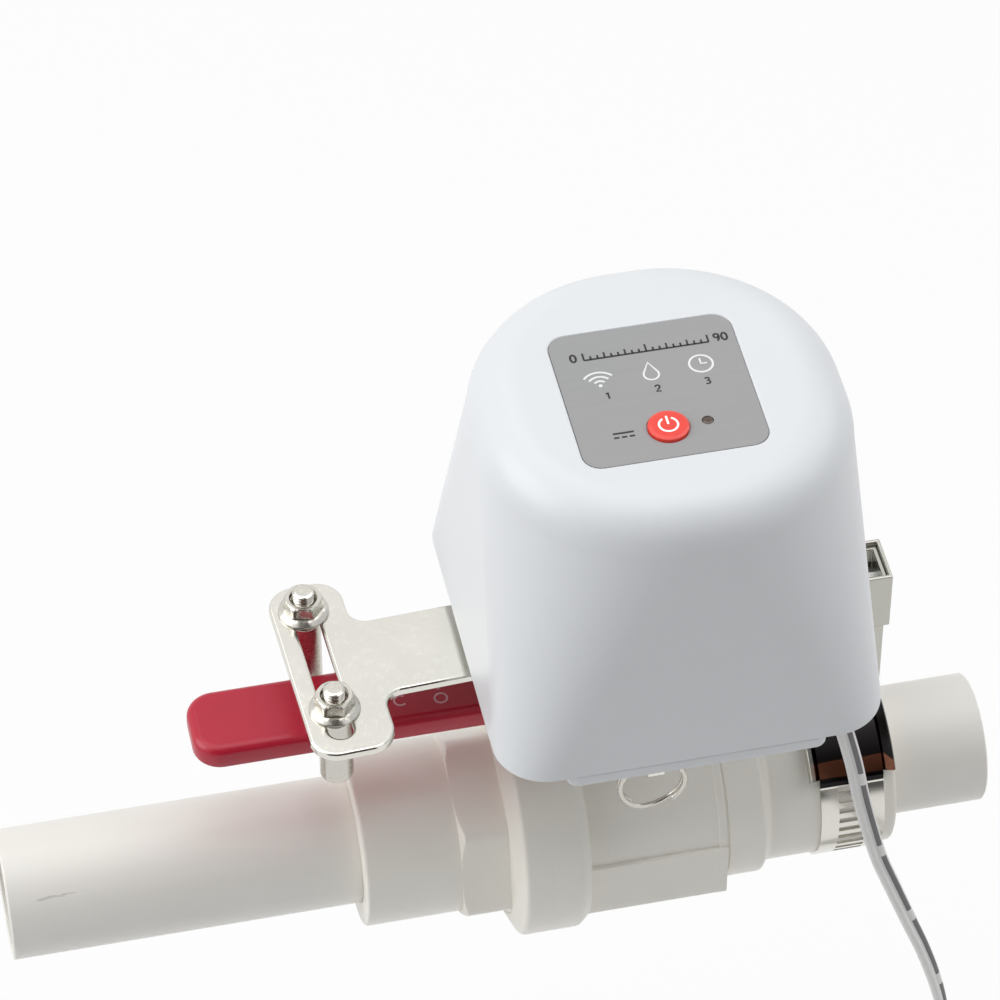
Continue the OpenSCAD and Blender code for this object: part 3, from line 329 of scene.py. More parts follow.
# Two round cores with a web between them, as angles round each core
LOBE = [(1, a) for a in range(-150, 151, 25)] + [(-1, a) for a in range(30, 331, 25)]
cord_loops, cord_marks, run = [], [], 0.0
for i, p in enumerate(cord_path):
    ahead = cord_path[min(i + 1, len(cord_path) - 1)] - cord_path[max(i - 1, 0)]
    if i == 0:
        ahead = Vector((0, 0, -1))
    ahead.normalize()
    a = math.radians(cord_turn[i])
    side = Vector((math.cos(a), math.sin(a), 0))
    side = (side - side.dot(ahead) * ahead).normalized()
    face = ahead.cross(side)
    run += (p - cord_path[i - 1]).length if i else 0
    cord_loops.append([p + side * (core * (CORD_W - CORD_T) / 2
                                   + CORD_T / 2 * math.cos(math.radians(k)))
                       + face * CORD_T / 2 * math.sin(math.radians(k)) for core, k in LOBE])
    cord_marks.append(run)

STRIPE_PITCH, STRIPE_DASH, STRIPE_START = 0.026, 0.022, 0.018
STRIPE_LOW, STRIPE_HIGH, STRIPE_INK = 0.33, 0.445, 0.92
vinyl, s, into = finish("cord_vinyl", {"Roughness": 0.42, "Specular IOR Level": 0.4})
print_at = s.node("UVMap", {"uv_map": "run"})
along = s.node("SeparateXYZ", (), {0: print_at}, out="X")
across = s.node("SeparateXYZ", (), {0: print_at}, out="Y")
dash = ((along + STRIPE_START) % STRIPE_PITCH) < STRIPE_DASH
stripe = dash * (across > STRIPE_LOW) * (across < STRIPE_HIGH)
milk = s.noise(160, 3).mix(srgb(232, 231, 229), srgb(241, 240, 239))
(stripe * STRIPE_INK).mix(milk, srgb(104, 102, 104)).feed(into["Base Color"])
(0.38 + s.noise(420) * 0.12).feed(into["Roughness"])
s.noise(700, 3).bump(0.25, 0.00008).feed(into["Normal"])
cord = piece("twin_lead", skin(cord_loops), vinyl, BODY, ("power_cord", "cord_coil"),
             crease=60)
marks = cord.data.uv_layers.new(name="run")
for poly in cord.data.polygons:
    around = {cord.data.loops[j].vertex_index % len(LOBE) for j in poly.loop_indices}
    for j in poly.loop_indices:
        ring, k = divmod(cord.data.loops[j].vertex_index, len(LOBE))
        seam = k == 0 and around == {0, len(LOBE) - 1}
        marks.data[j].uv = (cord_marks[ring] * MM, 1.0 if seam else k / len(LOBE))

# The cord's inline socket: a black moulded barrel with a ribbed boot, which takes a barrel plug.
# Its centre pin is brass, and a strip of hook-and-loop tape ties the coil beside it.


def dimmed(colour, share):
    """A colour with a share of its light."""
    return tuple(c * share for c in colour[:3]) + (1,)


def moulded(name, colour, rough, grain=900, depth=0.00002, mottle=0.04):
    """A moulded plastic: faint clouds in its colour and gloss, and a fine grain."""
    made, s, into = finish(name, {"Roughness": rough})
    cloud = s.noise(55, 4)
    cloud.mix(dimmed(colour, 1 - mottle), colour).feed(into["Base Color"])
    (rough - 0.05 + cloud * 0.1).feed(into["Roughness"])
    s.noise(grain, 3).bump(0.35, depth).feed(into["Normal"])
    return made


def plated(name, colour, rough):
    """A plated or drawn metal: smears in its gloss and fine scratches."""
    made, s, into = finish(name, {"Metallic": 1.0, "Roughness": rough})
    smear, fine = s.noise(80, 4), s.noise(900, 3)
    smear.mix(dimmed(colour, 0.93), colour).feed(into["Base Color"])
    (rough + smear * 0.07 + (fine > 0.6) * 0.06).feed(into["Roughness"])
    fine.bump(0.12, 0.00001).feed(into["Normal"])
    return made


def turned(profile, place, axis="z", sides=64):
    """Loops of a turned form: a profile of (radius, height) round an axis through a place."""
    x, y, z = place
    round_at = [2 * math.pi * k / sides for k in range(sides)]
    loops = []
    for r, h in profile:
        ring = [(r * math.cos(a), r * math.sin(a)) for a in round_at]
        loops.append([(x + h, y + c, z + d) if axis == "x" else (x + c, y + d, z + h)
                      for c, d in ring])
    return loops


black_moulding = moulded("black_moulding", srgb(38, 38, 40), 0.45)
brass = plated("brass", srgb(206, 172, 104), 0.22)
cord_end = coil_path[-1]
boot = [(2.9, 0), (3.4, -0.4)]
for k in range(4):
    grow, z = 0.5 * k, -0.9 - 1.7 * k
    boot += [(3.5 + grow, z), (3.0 + grow, z - 0.3), (3.0 + grow, z - 0.9), (3.7 + grow, z - 1.2)]
barrel = boot + [(5.5, -8.2), (5.5, -9.4), (5.3, -9.6), (5.3, -10.4), (5.5, -10.6), (5.5, -31.4),
                 (5.1, -32), (3.1, -32), (2.8, -31.7), (2.8, -22)]
barrel_socket = piece("barrel_socket", skin(turned(barrel, cord_end)), black_moulding, BODY,
                      ("dc_socket",))
pin = [(1.0, -22.1), (1.0, -30.4), (0.6, -31)]
socket_pin = piece("socket_pin", skin(turned(pin, cord_end, sides=24)), brass, BODY)


def rounded(cx, cy, hx, hy, radii, steps=8, z=0.0):
    """A loop round a rectangle with its own radius at each corner, from the right back one."""
    loop = []
    for quarter, (sx, sy) in enumerate(((1, 1), (-1, 1), (-1, -1), (1, -1))):
        r = radii[quarter] if isinstance(radii, tuple) else radii
        for k in range(steps + 1):
            a = math.radians(90 * (quarter + k / steps))
            loop.append((cx + sx * (hx - r) + r * math.cos(a),
                         cy + sy * (hy - r) + r * math.sin(a), z))
    return loop


TIE_W, TIE_T, TIE_ROOM, TIE_EDGE, TIE_ROUND = 6, 1.2, 0.6, 0.2, 2.2
tie_in = COIL_R - COIL_STEP / 360 * coil_sweep / 2 - CORD_T / 2 - TIE_ROOM
tie_out = COIL_R + CORD_T / 2 + TIE_ROOM
tie_low, tie_high = -CORD_W / 2 - TIE_ROOM, COIL_LAYER + CORD_W / 2 + TIE_ROOM
w, t, e = TIE_W / 2, TIE_T, TIE_EDGE
tie_loops = []
for inset, z in ((0, e - w), (0, w - e), (-e, w), (e - t, w), (-t, w - e), (-t, e - w),
                 (e - t, -w), (-e, -w)):
    outline = rounded(-(tie_in + tie_out) / 2, (tie_low + tie_high) / 2,
                      (tie_out - tie_in) / 2 + t + inset, (tie_high - tie_low) / 2 + t + inset,
                      TIE_ROUND + inset)
    tie_loops.append([(x + COIL_AT[0], y + COIL_AT[1], z + COIL_AT[2]) for x, y, _ in outline])
tape, s, into = finish("hook_tape", {"Roughness": 0.9, "Sheen Weight": 0.3})
s.noise(1400, 4).mix(srgb(24, 24, 26), srgb(58, 58, 60)).feed(into["Base Color"])
s.noise(2600, 2).bump(0.8, 0.0003).feed(into["Normal"])
tie_strap = piece("tie_strap", skin(tie_loops, ring=True), tape, BODY, ("cord_tie",))
cord_length = sum((b - a).length for a, b in zip(cord_path, cord_path[1:])) * MM
row(cord_path[0])
[row(p) for p in cord_path]

# The pipes: extruded grey-white vinyl, cut square and cemented into their sockets.
# The die leaves fine lines along them, and handling leaves a few grey specks and scuffs.
extruded, s, into = finish("extruded_pipe", {"Roughness": 0.4})
lines = s.noise(160, 3, (0.03, 1, 1))
cloud = s.noise(22, 3)
scuff = (s.noise(150, 5, (0.12, 1, 1)) > 0.69) * (cloud > 0.52)
tone = (0.5 * lines + 0.5 * cloud).mix(srgb(236, 233, 226), srgb(245, 243, 237))
(scuff * 0.35).mix(tone, srgb(150, 144, 134)).feed(into["Base Color"])
(0.34 + lines * 0.16).feed(into["Roughness"])
lines.bump(0.3, 0.00006).feed(into["Normal"])
PIPE_R, PIPE_BORE, PIPE_FIT = 16.0, 13.6, 0.2
for name, node, open_end, mouth, deep in (("inlet_tube", "inlet_pipe", -160.0, -74.0, -52.0),
                                          ("outlet_tube", "outlet_pipe", 84.0, 59.0, 37.0)):
    way = 1 if mouth > open_end else -1
    profile = [(PIPE_BORE, deep), (PIPE_R - PIPE_FIT, deep), (PIPE_R - PIPE_FIT, mouth),
               (PIPE_R, mouth), (PIPE_R, mouth - way * 2), (PIPE_R, open_end + way * 2),
               (PIPE_R, open_end + way * 0.4), (PIPE_R - 0.4, open_end),
               (PIPE_BORE + 0.3, open_end), (PIPE_BORE, open_end + way * 0.3)]
    piece(name, skin(turned(profile, (0, 0, 0), "x", 128), ring=True), extruded, BODY,
          (node,))

# The screwed end connector: moulded vinyl with a socket for the pipe and a chamfered hexagon for a
# spanner. Its spigot screws into the body and holds the ball's seat. The mould leaves every edge
# rounded.
ROUND = [math.radians(2.5 * k) for k in range(144)]
HEX_AF, HEX_TURN, HEX_X, HEX_LEN = 44.0, math.radians(-9), -50.3, 11.5
vinyl_moulding = moulded("vinyl_moulding", srgb(247, 244, 235), 0.38, grain=500, depth=0.00004,
                         mottle=0.05)


def hexed(angle, across, soft=28):
    """The radius of a hexagon with slightly rounded corners, by the angle from a flat's middle."""
    flats = sum(max(0.0, math.cos(angle - math.pi / 3 * k)) ** soft for k in range(6))
    return across / 2 / flats ** (1 / soft)


def eased(corners, steps=4):
    """A profile through corners of (radius, station, softness), with the corners rounded off."""
    profile = []
    for k, (r, x, soft) in enumerate(corners):
        if not soft:
            profile.append((r, x))
            continue
        here = Vector((r, x))
        arms = [Vector(corners[j][:2]) - here for j in (k - 1, k + 1)]
        start, end = (here + arm * min(soft / arm.length, 0.49) for arm in arms)
        for i in range(steps + 1):
            w = i / steps
            point = start * (1 - w) ** 2 + here * 2 * w * (1 - w) + end * w * w
            profile.append((point.x, point.y))
    return profile


def station(x, radius, round_at=ROUND):
    """A loop across the pipe's axis, with its radius by the angle."""
    return [(x, radius(a) * math.cos(a), radius(a) * math.sin(a)) for a in round_at]


def circles(profile, round_at=ROUND):
    """Round loops across the pipe's axis, along a profile."""
    return [station(x, lambda a: r, round_at) for r, x in profile]


connector_loops = circles(eased([(16.0, -52.0, 0), (16.0, -74.0, 0.5), (22.0, -74.0, 1.1),
                                 (22.0, HEX_X, 0)]))
CHAMFER = ((0, 22.5), (0.06, 22.9), (0.25, 23.4), (0.5, 23.85), (0.8, 24.35), (1.15, 24.9),
           (1.6, 25.6))
for depth, limit in CHAMFER + ((5.75, 26.0), (HEX_LEN, 26.0), (HEX_LEN + 0.4, 25.4)):
    connector_loops.append(station(HEX_X + depth,
                                   lambda a: min(limit, hexed(a - HEX_TURN, HEX_AF))))
connector_loops += circles([(24.5, -38.3), (24.5, -37.0), (22.4, -37.0), (22.4, -12.0),
                            (17.3, -12.0), (17.3, -17.0), (12.5, -17.0), (12.5, -52.0)])
piece("screwed_connector", skin(connector_loops, ring=True), vinyl_moulding, BODY,
      ("end_connector",), crease=28)

# The valve's body: one vinyl moulding with a flange, a middle that is half a hexagon below the mould
# line, and a socket for the outlet pipe. The bonnet on top guides the stem, under a screwed gland
# nut.
MOULD_Z, MOULD_LINE, BODY_AF, BODY_R = 2.4, 0.15, 49.6, 24.0
RAISE, HEX_RAISE, HEX_SOFT = 0.4, 0.1, 60
mould_angle = math.degrees(math.asin(MOULD_Z / (BODY_AF / 2)))
SPLIT = sorted(ROUND + [math.radians(edge + side) for edge in (mould_angle, 180 - mould_angle)
                        for side in (-MOULD_LINE, MOULD_LINE)])


def together(*skins):
    """One form from several."""
    points, faces = [], []
    for more, sides in skins:
        faces += [tuple(len(points) + k for k in face) for face in sides]
        points += more
    return points, faces


def middle_radius(a, raised):
    """The radius of the body's middle: round above the mould line, a hexagon below it."""
    if math.sin(a) * BODY_AF / 2 < MOULD_Z:
        return hexed(a, BODY_AF + min(raised, HEX_RAISE), HEX_SOFT)
    return BODY_R + raised


body_loops = circles(eased([
    (24.6, -36.0, 0), (24.6, -38.4, 0.15), (25.4, -38.4, 0.4), (30.5, -36.0, 1.0), (30.5, -29.4, 0),
    (30.44, -29.2, 0), (30.5, -29.0, 0), (30.5, -22.0, 0.8), (28.4, -19.4, 0.9), (27.4, -19.4, 0)]),
    SPLIT)
body_loops += [station(x, lambda a: middle_radius(a, raised), SPLIT) for x, raised in (
    (-19.4, 0.5), (-19.3, 0.2), (-18.9, 0), (-10, 0), (5, 0), (13.3, 0), (13.45, 0.08), (13.6, 0.3),
    (13.8, RAISE), (15.1, RAISE), (15.35, 0.28), (15.5, 0))]
body_loops += circles(eased([
    (23.9, 15.5, 0), (23.9, 16.1, 0.3), (24.4, 16.1, 0.3), (24.4, 25.2, 0.7), (22.0, 26.9, 0.8),
    (22.0, 59.0, 1.1), (16.0, 59.0, 0.5), (16.0, 37.0, 0), (12.5, 37.0, 0), (12.5, 17.0, 0),
    (17.3, 17.0, 0), (17.3, 12.0, 0), (19.0, 12.0, 0), (19.0, -11.5, 0), (22.5, -11.5, 0),
    (22.5, -36.0, 0)]), SPLIT)
bonnet = eased([(7.4, 20.0, 0), (13.0, 20.0, 0), (13.0, 36.0, 0.8), (7.4, 36.0, 0.3),
                (7.4, 20.0, 0)])[:-1]
piece("body_moulding", together(skin(body_loops, ring=True),
                                skin(turned(bonnet, (0, 0, 0)), ring=True)),
      vinyl_moulding, BODY, ("valve_body",), crease=28)


def softened(node, material, body, edge, crease=25, steps=3):
    """A copy of a solid with its sharp edges rounded, standing for it."""
    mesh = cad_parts[node].data.copy()
    form = bmesh.new()
    form.from_mesh(mesh)
    bmesh.ops.remove_doubles(form, verts=form.verts, dist=1e-7)
    bmesh.ops.dissolve_limit(form, angle_limit=math.radians(0.6), verts=form.verts,
                             edges=form.edges)
    sharp = [e for e in form.edges
             if len(e.link_faces) == 2 and e.calc_face_angle(0) > math.radians(crease)]
    bmesh.ops.bevel(form, geom=sharp, offset=edge * MM, offset_type="OFFSET", segments=steps,
                    profile=0.5, affect="EDGES", clamp_overlap=False)
    if "custom_normal" in mesh.attributes:
        mesh.attributes.remove(mesh.attributes["custom_normal"])
    form.to_mesh(mesh)
    form.free()
    return settle(node + "_form", mesh, material, body, (node,), crease)


softened("gland_nut", vinyl_moulding, BODY, 0.5)

# Inside the valve: a bored ball between two white seats, a steel stem with two rubber rings,
# and a rubber ring under the screwed connector. They are moulded or turned, and pressed in.


def coat(material, *nodes):
    """Gives nodes that keep their solids their finish."""
    for node in nodes:
        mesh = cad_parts[node].data
        mesh.materials.clear()
        mesh.materials.append(material)


steel = plated("steel", srgb(196, 196, 194), 0.25)
dark_rubber = moulded("dark_rubber", srgb(40, 40, 41), 0.7, grain=1600)
seat_white = moulded("seat_white", srgb(240, 240, 238), 0.35)
coat(seat_white, "ball_seats", "valve_ball")
coat(dark_rubber, "body_seal", "stem_seals")
coat(steel, "valve_stem")

# The lever: a steel bar dipped in red vinyl, with soft edges and a rounded end, under a nut on the
# stem. It turns with the stem and the ball, and carries plain printed marks for open and shut.
ROTOR = "lever_and_ball"
LEVER_Z, LEVER_HALF_T, LEVER_EDGE = 47.5, 3.5, 2.4
GRIP_FAR, GRIP_NEAR, GRIP_HALF, GRIP_RINGS = -112, -28, 10.25, 12
END_ROUND, NEAR_ROUND, LEAST_ROUND = 6.8, 1.5, 0.2
red_vinyl, s, into = finish("red_vinyl", {"Roughness": 0.4, "Specular IOR Level": 0.35,
                                          "Coat Weight": 0.25, "Coat Roughness": 0.15})
cloud = s.noise(45, 4)
cloud.mix(srgb(172, 20, 46), srgb(190, 28, 56)).feed(into["Base Color"])
(0.33 + cloud * 0.12).feed(into["Roughness"])
s.noise(130, 2).bump(0.25, 0.0002).feed(into["Normal"])
grip_loops = []
for k in range(GRIP_RINGS + 1):
    a = math.radians(-90 + 180 * k / GRIP_RINGS)
    side = (2 * k > GRIP_RINGS) - (2 * k < GRIP_RINGS)
    z = LEVER_Z + (LEVER_HALF_T - LEVER_EDGE) * side + LEVER_EDGE * math.sin(a)
    inset = LEVER_EDGE * (1 - math.cos(a))
    near, end = (max(r - inset, LEAST_ROUND) for r in (NEAR_ROUND, END_ROUND))
    grip_loops.append(rounded((GRIP_FAR + GRIP_NEAR) / 2, 0, (GRIP_NEAR - GRIP_FAR) / 2 - inset,
                              GRIP_HALF - inset, (near, end, end, near), steps=10, z=z))
piece("grip_sleeve", skin(grip_loops), red_vinyl, ROTOR, ("lever_grip",), crease=50)
coat(steel, "lever_bar", "lever_nut")


def stroke(path, width, closed=False):
    """A printed line: the two sides of a path, as a loop for each of its short lengths."""
    n = len(path)
    sides = []
    for i, (x, y) in enumerate(path):
        a = path[(i - 1) % n] if closed or i else path[0]
        b = path[(i + 1) % n] if closed or i < n - 1 else path[-1]
        dx, dy = b[0] - a[0], b[1] - a[1]
        d = math.hypot(dx, dy)
        ox, oy = dy / d * width / 2, dx / d * width / 2
        sides.append(((x - ox, y + oy), (x + ox, y - oy)))
    spans = range(n if closed else n - 1)
    return [[sides[i][1], sides[(i + 1) % n][1], sides[(i + 1) % n][0], sides[i][0]] for i in spans]


def arc(at, r, a0, a1, steps=16):
    """Points along an arc, by its angles in degrees."""
    angles = [math.radians(a0 + (a1 - a0) * k / steps) for k in range(steps + 1)]
    return [(at[0] + r * math.cos(a), at[1] + r * math.sin(a)) for a in angles]


def circle(at, r, sides=48):
    """Points round a circle."""
    angles = [2 * math.pi * k / sides for k in range(sides)]
    return [(at[0] + r * math.cos(a), at[1] + r * math.sin(a)) for a in angles]


def printed(name, shapes, z, material, body, thick=0.05):
    """Thin printed shapes on a flat face, each a closed outline."""
    form = together(*(skin([[(x, y, h) for x, y in shape] for h in (z, z + thick)])
                      for shape in shapes))
    return piece(name, form, material, body)


INK, INK_FINE, INK_THIN = 0.5, 0.45, 0.42
LEVER_TOP, SHUT_AT, OPEN_AT = LEVER_Z + LEVER_HALF_T, (-61.4, -3.2), (-51.8, -4.4)
ink_pink = moulded("ink_pink", srgb(226, 168, 178), 0.45, grain=2500)
lever_marks = stroke(arc(SHUT_AT, 1.5, 50, 310, 24), INK)
lever_marks += stroke(arc(OPEN_AT, 1.5, 0, 345, 24), INK, True)
lever_marks.append([(OPEN_AT[0] + x, OPEN_AT[1] + y) for x, y in ((0, 2.5), (0.8, 3.8), (-0.8, 3.8))])
printed("lever_marks", lever_marks, LEVER_TOP, ink_pink, ROTOR)

# The arm: blanked from nickel-plated sheet, with a slotted head and a square hole for the shaft.
# A screw and a washer hold it under the housing, so that the motor swings it.
nickel = plated("nickel", srgb(226, 224, 216), 0.13)
softened("arm_plate", nickel, "arm", 0.7, crease=35, steps=4)
coat(nickel, "arm_washer")
coat(steel, "arm_screw", "output_shaft")

# The drive posts: turned steel, shouldered under the arm, with a rolled thread above it.
# They straddle the lever and are set to its width along the arm's slot.
POSTS, POST_SIDES = ((-79.39, -15.78), (-80.78, 16.19)), 40
THREAD_Z, THREAD_STEP, THREAD_RINGS = 69.7, 0.1, 37
PITCH, ROOT_R, CREST_R = 1.0, 2.15, 2.65
bright_steel = plated("bright_steel", srgb(206, 203, 195), 0.2)


def groove(z, a):
    """The thread's radius: a groove that climbs one pitch each turn."""
    return ROOT_R + (CREST_R - ROOT_R) * (1 - abs(2 * ((z / PITCH - a / (2 * math.pi)) % 1) - 1))


def level_loop(x, y, z, radius, sides):
    """A level loop round an upright axis, with its radius by the angle."""
    angles = [2 * math.pi * k / sides for k in range(sides)]
    return [(x + radius(a) * math.cos(a), y + radius(a) * math.sin(a), z) for a in angles]


post_skins = []
for x, y in POSTS:
    loops = turned([(3.5, 43.9), (3.85, 44.05), (4.0, 44.4), (4.0, 63.3), (3.8, 63.7), (2.45, 63.7),
                    (2.45, 69.6)], (x, y, 0), sides=POST_SIDES)
    for k in range(THREAD_RINGS):
        z = THREAD_Z + THREAD_STEP * k
        loops.append(level_loop(x, y, z, lambda a: groove(z, a), POST_SIDES))
    loops += turned([(2.2, 73.4), (1.85, 73.6)], (x, y, 0), sides=POST_SIDES)
    post_skins.append(skin(loops))
piece("threaded_posts", together(*post_skins), bright_steel, "arm", ("drive_posts",),
      crease=80)

# The flange nuts: hexagons with a washer face in one piece, cold-formed and nickel-plated.
# They clamp the posts in the slot.
NUT_AF, NUT_TURN, NUT_SIDES = 8.6, math.radians(-102), 72
nut_skins = []
for x, y in POSTS:
    loops = []
    for limit, z, is_hex in (
            (2.8, 66.25, 0), (5.7, 66.2, 0), (6.0, 66.35, 0), (6.1, 66.6, 0), (6.0, 66.85, 0),
            (5.6, 67.15, 0), (5.0, 67.6, 0), (4.85, 67.7, 1), (4.85, 67.9, 1), (4.85, 70.5, 1),
            (4.7, 70.8, 1), (4.45, 71.05, 1), (4.2, 71.2, 0), (3.4, 71.2, 0), (2.8, 70.2, 0)):
        loops.append(level_loop(x, y, z, lambda a: min(limit, hexed(a - NUT_TURN, NUT_AF))
                                if is_hex else limit, NUT_SIDES))
    nut_skins.append(skin(loops, ring=True))
piece("hex_flange_nuts", together(*nut_skins), bright_steel, "arm", ("flange_nuts",),
      crease=25)

# The cover: one white moulding with draft. It goes from a square with round corners at its lower edge
# to a nearly round top, with a wide soft edge and a shallow seat for the panel.
COVER_AT, COVER_Z, COVER_TOP, COVER_WALL, COVER_STEPS = (-0.6, -6.1), 70.1, 147.2, 2.5, 40
HALF_LOW, ROUND_LOW, HALF_TOP, ROUND_TOP, FILLET = 46.3, 12.5, (43.3, 44.4), 40.0, 11.6
PANEL_AT, PANEL_HALF, PANEL_ROUND, PANEL_T = (-1.7, -8.0), 21.4, 4.5, 0.8
spring_z = COVER_TOP - FILLET


def cover_loop(share, inset, z):
    """The cover's outline at a share of its draft, drawn in by an inset."""
    hx, hy = (HALF_LOW + (h - HALF_LOW) * share - inset for h in HALF_TOP)
    r = ROUND_LOW + (ROUND_TOP - ROUND_LOW) * share - inset
    corners = rounded(COVER_AT[0], COVER_AT[1], hx, hy, r, steps=COVER_STEPS, z=z)
    loop = []
    for k, p in enumerate(corners):
        loop.append(p)
        if k % (COVER_STEPS + 1) == COVER_STEPS:
            q = corners[(k + 1) % len(corners)]
            loop += [tuple(a + (b - a) * t for a, b in zip(p, q)) for t in (0.12, 0.5, 0.88)]
    return loop


def edge_loop(angle, wall=0.0):
    """The cover's outline at an angle up the soft edge of its top, a wall's depth inside it."""
    a, r = math.radians(angle), FILLET - wall
    return cover_loop(1, wall + r * (1 - math.cos(a)), spring_z + r * math.sin(a))


def seat_loop(half, z):
    """The panel's seat in the top: a point in the direction of each of the cover's points."""
    loop, flat = [], half - PANEL_ROUND
    for x, y, _ in cover_loop(1, FILLET, z):
        way = Vector((x - PANEL_AT[0], y - PANEL_AT[1])).normalized()
        at = way * half / max(abs(way.x), abs(way.y))
        if min(abs(at.x), abs(at.y)) > flat:
            middle = Vector((math.copysign(flat, at.x), math.copysign(flat, at.y)))
            reach = middle.dot(way)
            at = way * (reach + math.sqrt(PANEL_ROUND ** 2 - middle.length_squared + reach * reach))
        loop.append((PANEL_AT[0] + at.x, PANEL_AT[1] + at.y, z))
    return loop


cover_loops = [edge_loop(a, COVER_WALL) for a in (90, 60, 30, 0)]
cover_loops += [cover_loop(share, inset, COVER_Z + rise) for share, inset, rise in (
    (0, COVER_WALL, 0), (0, 0.7, 0), (0.002, 0.35, 0.1), (0.005, 0.1, 0.35), (0.011, 0, 0.7))]
cover_loops += [cover_loop(t, 0, COVER_Z + (spring_z - COVER_Z) * t)
                for t in (0.05, 0.3, 0.6, 0.9, 0.98)]
cover_loops += [edge_loop(a) for a in range(0, 91, 6)]
cover_loops += [cover_loop(1, FILLET + 0.5, COVER_TOP)]
cover_loops += [seat_loop(PANEL_HALF + grow, COVER_TOP - drop) for grow, drop in (
    (1.2, 0), (0.5, 0), (0.3, 0.05), (0.15, 0.25), (0.1, PANEL_T), (-1, PANEL_T))]
shell_white = moulded("shell_white", srgb(226, 229, 232), 0.36, grain=1500, depth=0.000012,
                      mottle=0.015)
piece("cover_shell", skin(cover_loops), shell_white, BODY, ("housing_cover",),
      crease=30)

# The panel: a silver film on a thin plate, set into the cover's top. Its signs are printed:
# signal arcs, a drop, a clock and plain numbers, with a scale of ticks across the top.
film, s, into = finish("silver_film", {"Roughness": 0.45, "Specular IOR Level": 0.3})
sweep = s.noise(26, 2)
streak = s.noise(700, 3, (0.06, 1, 1))
tint = sweep.mix(srgb(150, 154, 154), srgb(163, 160, 160))
(streak * 0.2).mix(tint, srgb(182, 181, 183)).feed(into["Base Color"])
(0.34 + streak * 0.12).feed(into["Roughness"])
streak.bump(0.12, 0.00001).feed(into["Normal"])
BUTTON_AT, BUTTON_R, BUTTON_ROOM = (-2.1, -20.0), 4.75, 0.25
LED_AT, LED_R, LED_ROOM = (7.1, -19.6), 1.3, 0.1
PANEL_TOP, PANEL_EDGE = COVER_TOP - 0.12, 0.08


def plate(name, outline, holes, z_low, z_high, edge, material, body, stands_for):
    """A flat plate with holes through it, its upper edges broken by a small bevel."""
    form = bmesh.new()
    rims = []
    for loop in [outline] + holes:
        ring = [form.verts.new(row((x, y, z_low))) for x, y, *_ in loop]
        rims += [form.edges.new((ring[k], ring[(k + 1) % len(ring)])) for k in range(len(ring))]
    bmesh.ops.triangle_fill(form, use_beauty=True, use_dissolve=False, edges=rims)
    grown = bmesh.ops.extrude_face_region(form, geom=form.faces[:], use_keep_orig=True)
    top = [v for v in grown["geom"] if isinstance(v, bmesh.types.BMVert)]
    bmesh.ops.translate(form, verts=top, vec=(0, 0, (z_high - z_low) * MM))
    bmesh.ops.recalc_face_normals(form, faces=form.faces)
    rim = [e for e in form.edges if len(e.link_faces) == 2 and e.calc_face_angle(0) > 1
           and all(v.co.z > (z_high - 1e-3) * MM for v in e.verts)]
    bmesh.ops.bevel(form, geom=rim, offset=edge * MM, offset_type="OFFSET", segments=2, profile=0.5,
                    affect="EDGES", clamp_overlap=True)
    mesh = bpy.data.meshes.new(name)
    form.to_mesh(mesh)
    form.free()
    return settle(name, mesh, material, body, stands_for)


plate("sign_panel",
      rounded(PANEL_AT[0], PANEL_AT[1], PANEL_HALF, PANEL_HALF, PANEL_ROUND, steps=16),
      [circle(BUTTON_AT, BUTTON_R + BUTTON_ROOM), circle(LED_AT, LED_R + LED_ROOM, 32)],
      COVER_TOP - PANEL_T, PANEL_TOP, PANEL_EDGE, film, BODY, ("label_panel",))


def on_panel(u, v):
    """A place on the panel, by its shares of the width and of the way down."""
    return PANEL_AT[0] + (u - 0.5) * 2 * PANEL_HALF, PANEL_AT[1] + (0.5 - v) * 2 * PANEL_HALF


# Each digit's pen path in a unit of its height, and whether the path closes
DIGITS = {"0": ([(0.3 + 0.27 * math.cos(math.radians(a)), 0.5 + 0.5 * math.sin(math.radians(a)))
                 for a in range(0, 360, 20)], True),
          "1": ([(0.12, 0.78), (0.36, 1), (0.36, 0)], False),
          "2": ([(0.05, 0.76), (0.12, 0.93), (0.3, 1), (0.49, 0.93), (0.55, 0.74), (0.46, 0.52),
                 (0.05, 0), (0.58, 0)], False),
          "3": ([(0.05, 0.9), (0.3, 1), (0.5, 0.9), (0.52, 0.68), (0.3, 0.54), (0.54, 0.4),
                 (0.57, 0.18), (0.34, 0), (0.05, 0.1)], False),
          "9": ([(0.55, 0.72), (0.48, 0.93), (0.3, 1), (0.1, 0.93), (0.05, 0.72), (0.12, 0.52),
                 (0.3, 0.45), (0.48, 0.53), (0.55, 0.72), (0.52, 0.35), (0.34, 0)], False)}
DIGIT_STEP, DIGIT_MARGIN = 0.78, 0.09


def number(text, at, height, weight):
    """The strokes of a number, about its middle."""
    shapes = []
    for k, digit in enumerate(text):
        path, closed = DIGITS[digit]
        x0 = at[0] + (k - len(text) / 2) * DIGIT_STEP * height
        shapes += stroke([(x0 + (x + DIGIT_MARGIN) * height, at[1] + (y - 0.5) * height)
                          for x, y in path], weight, closed)
    return shapes


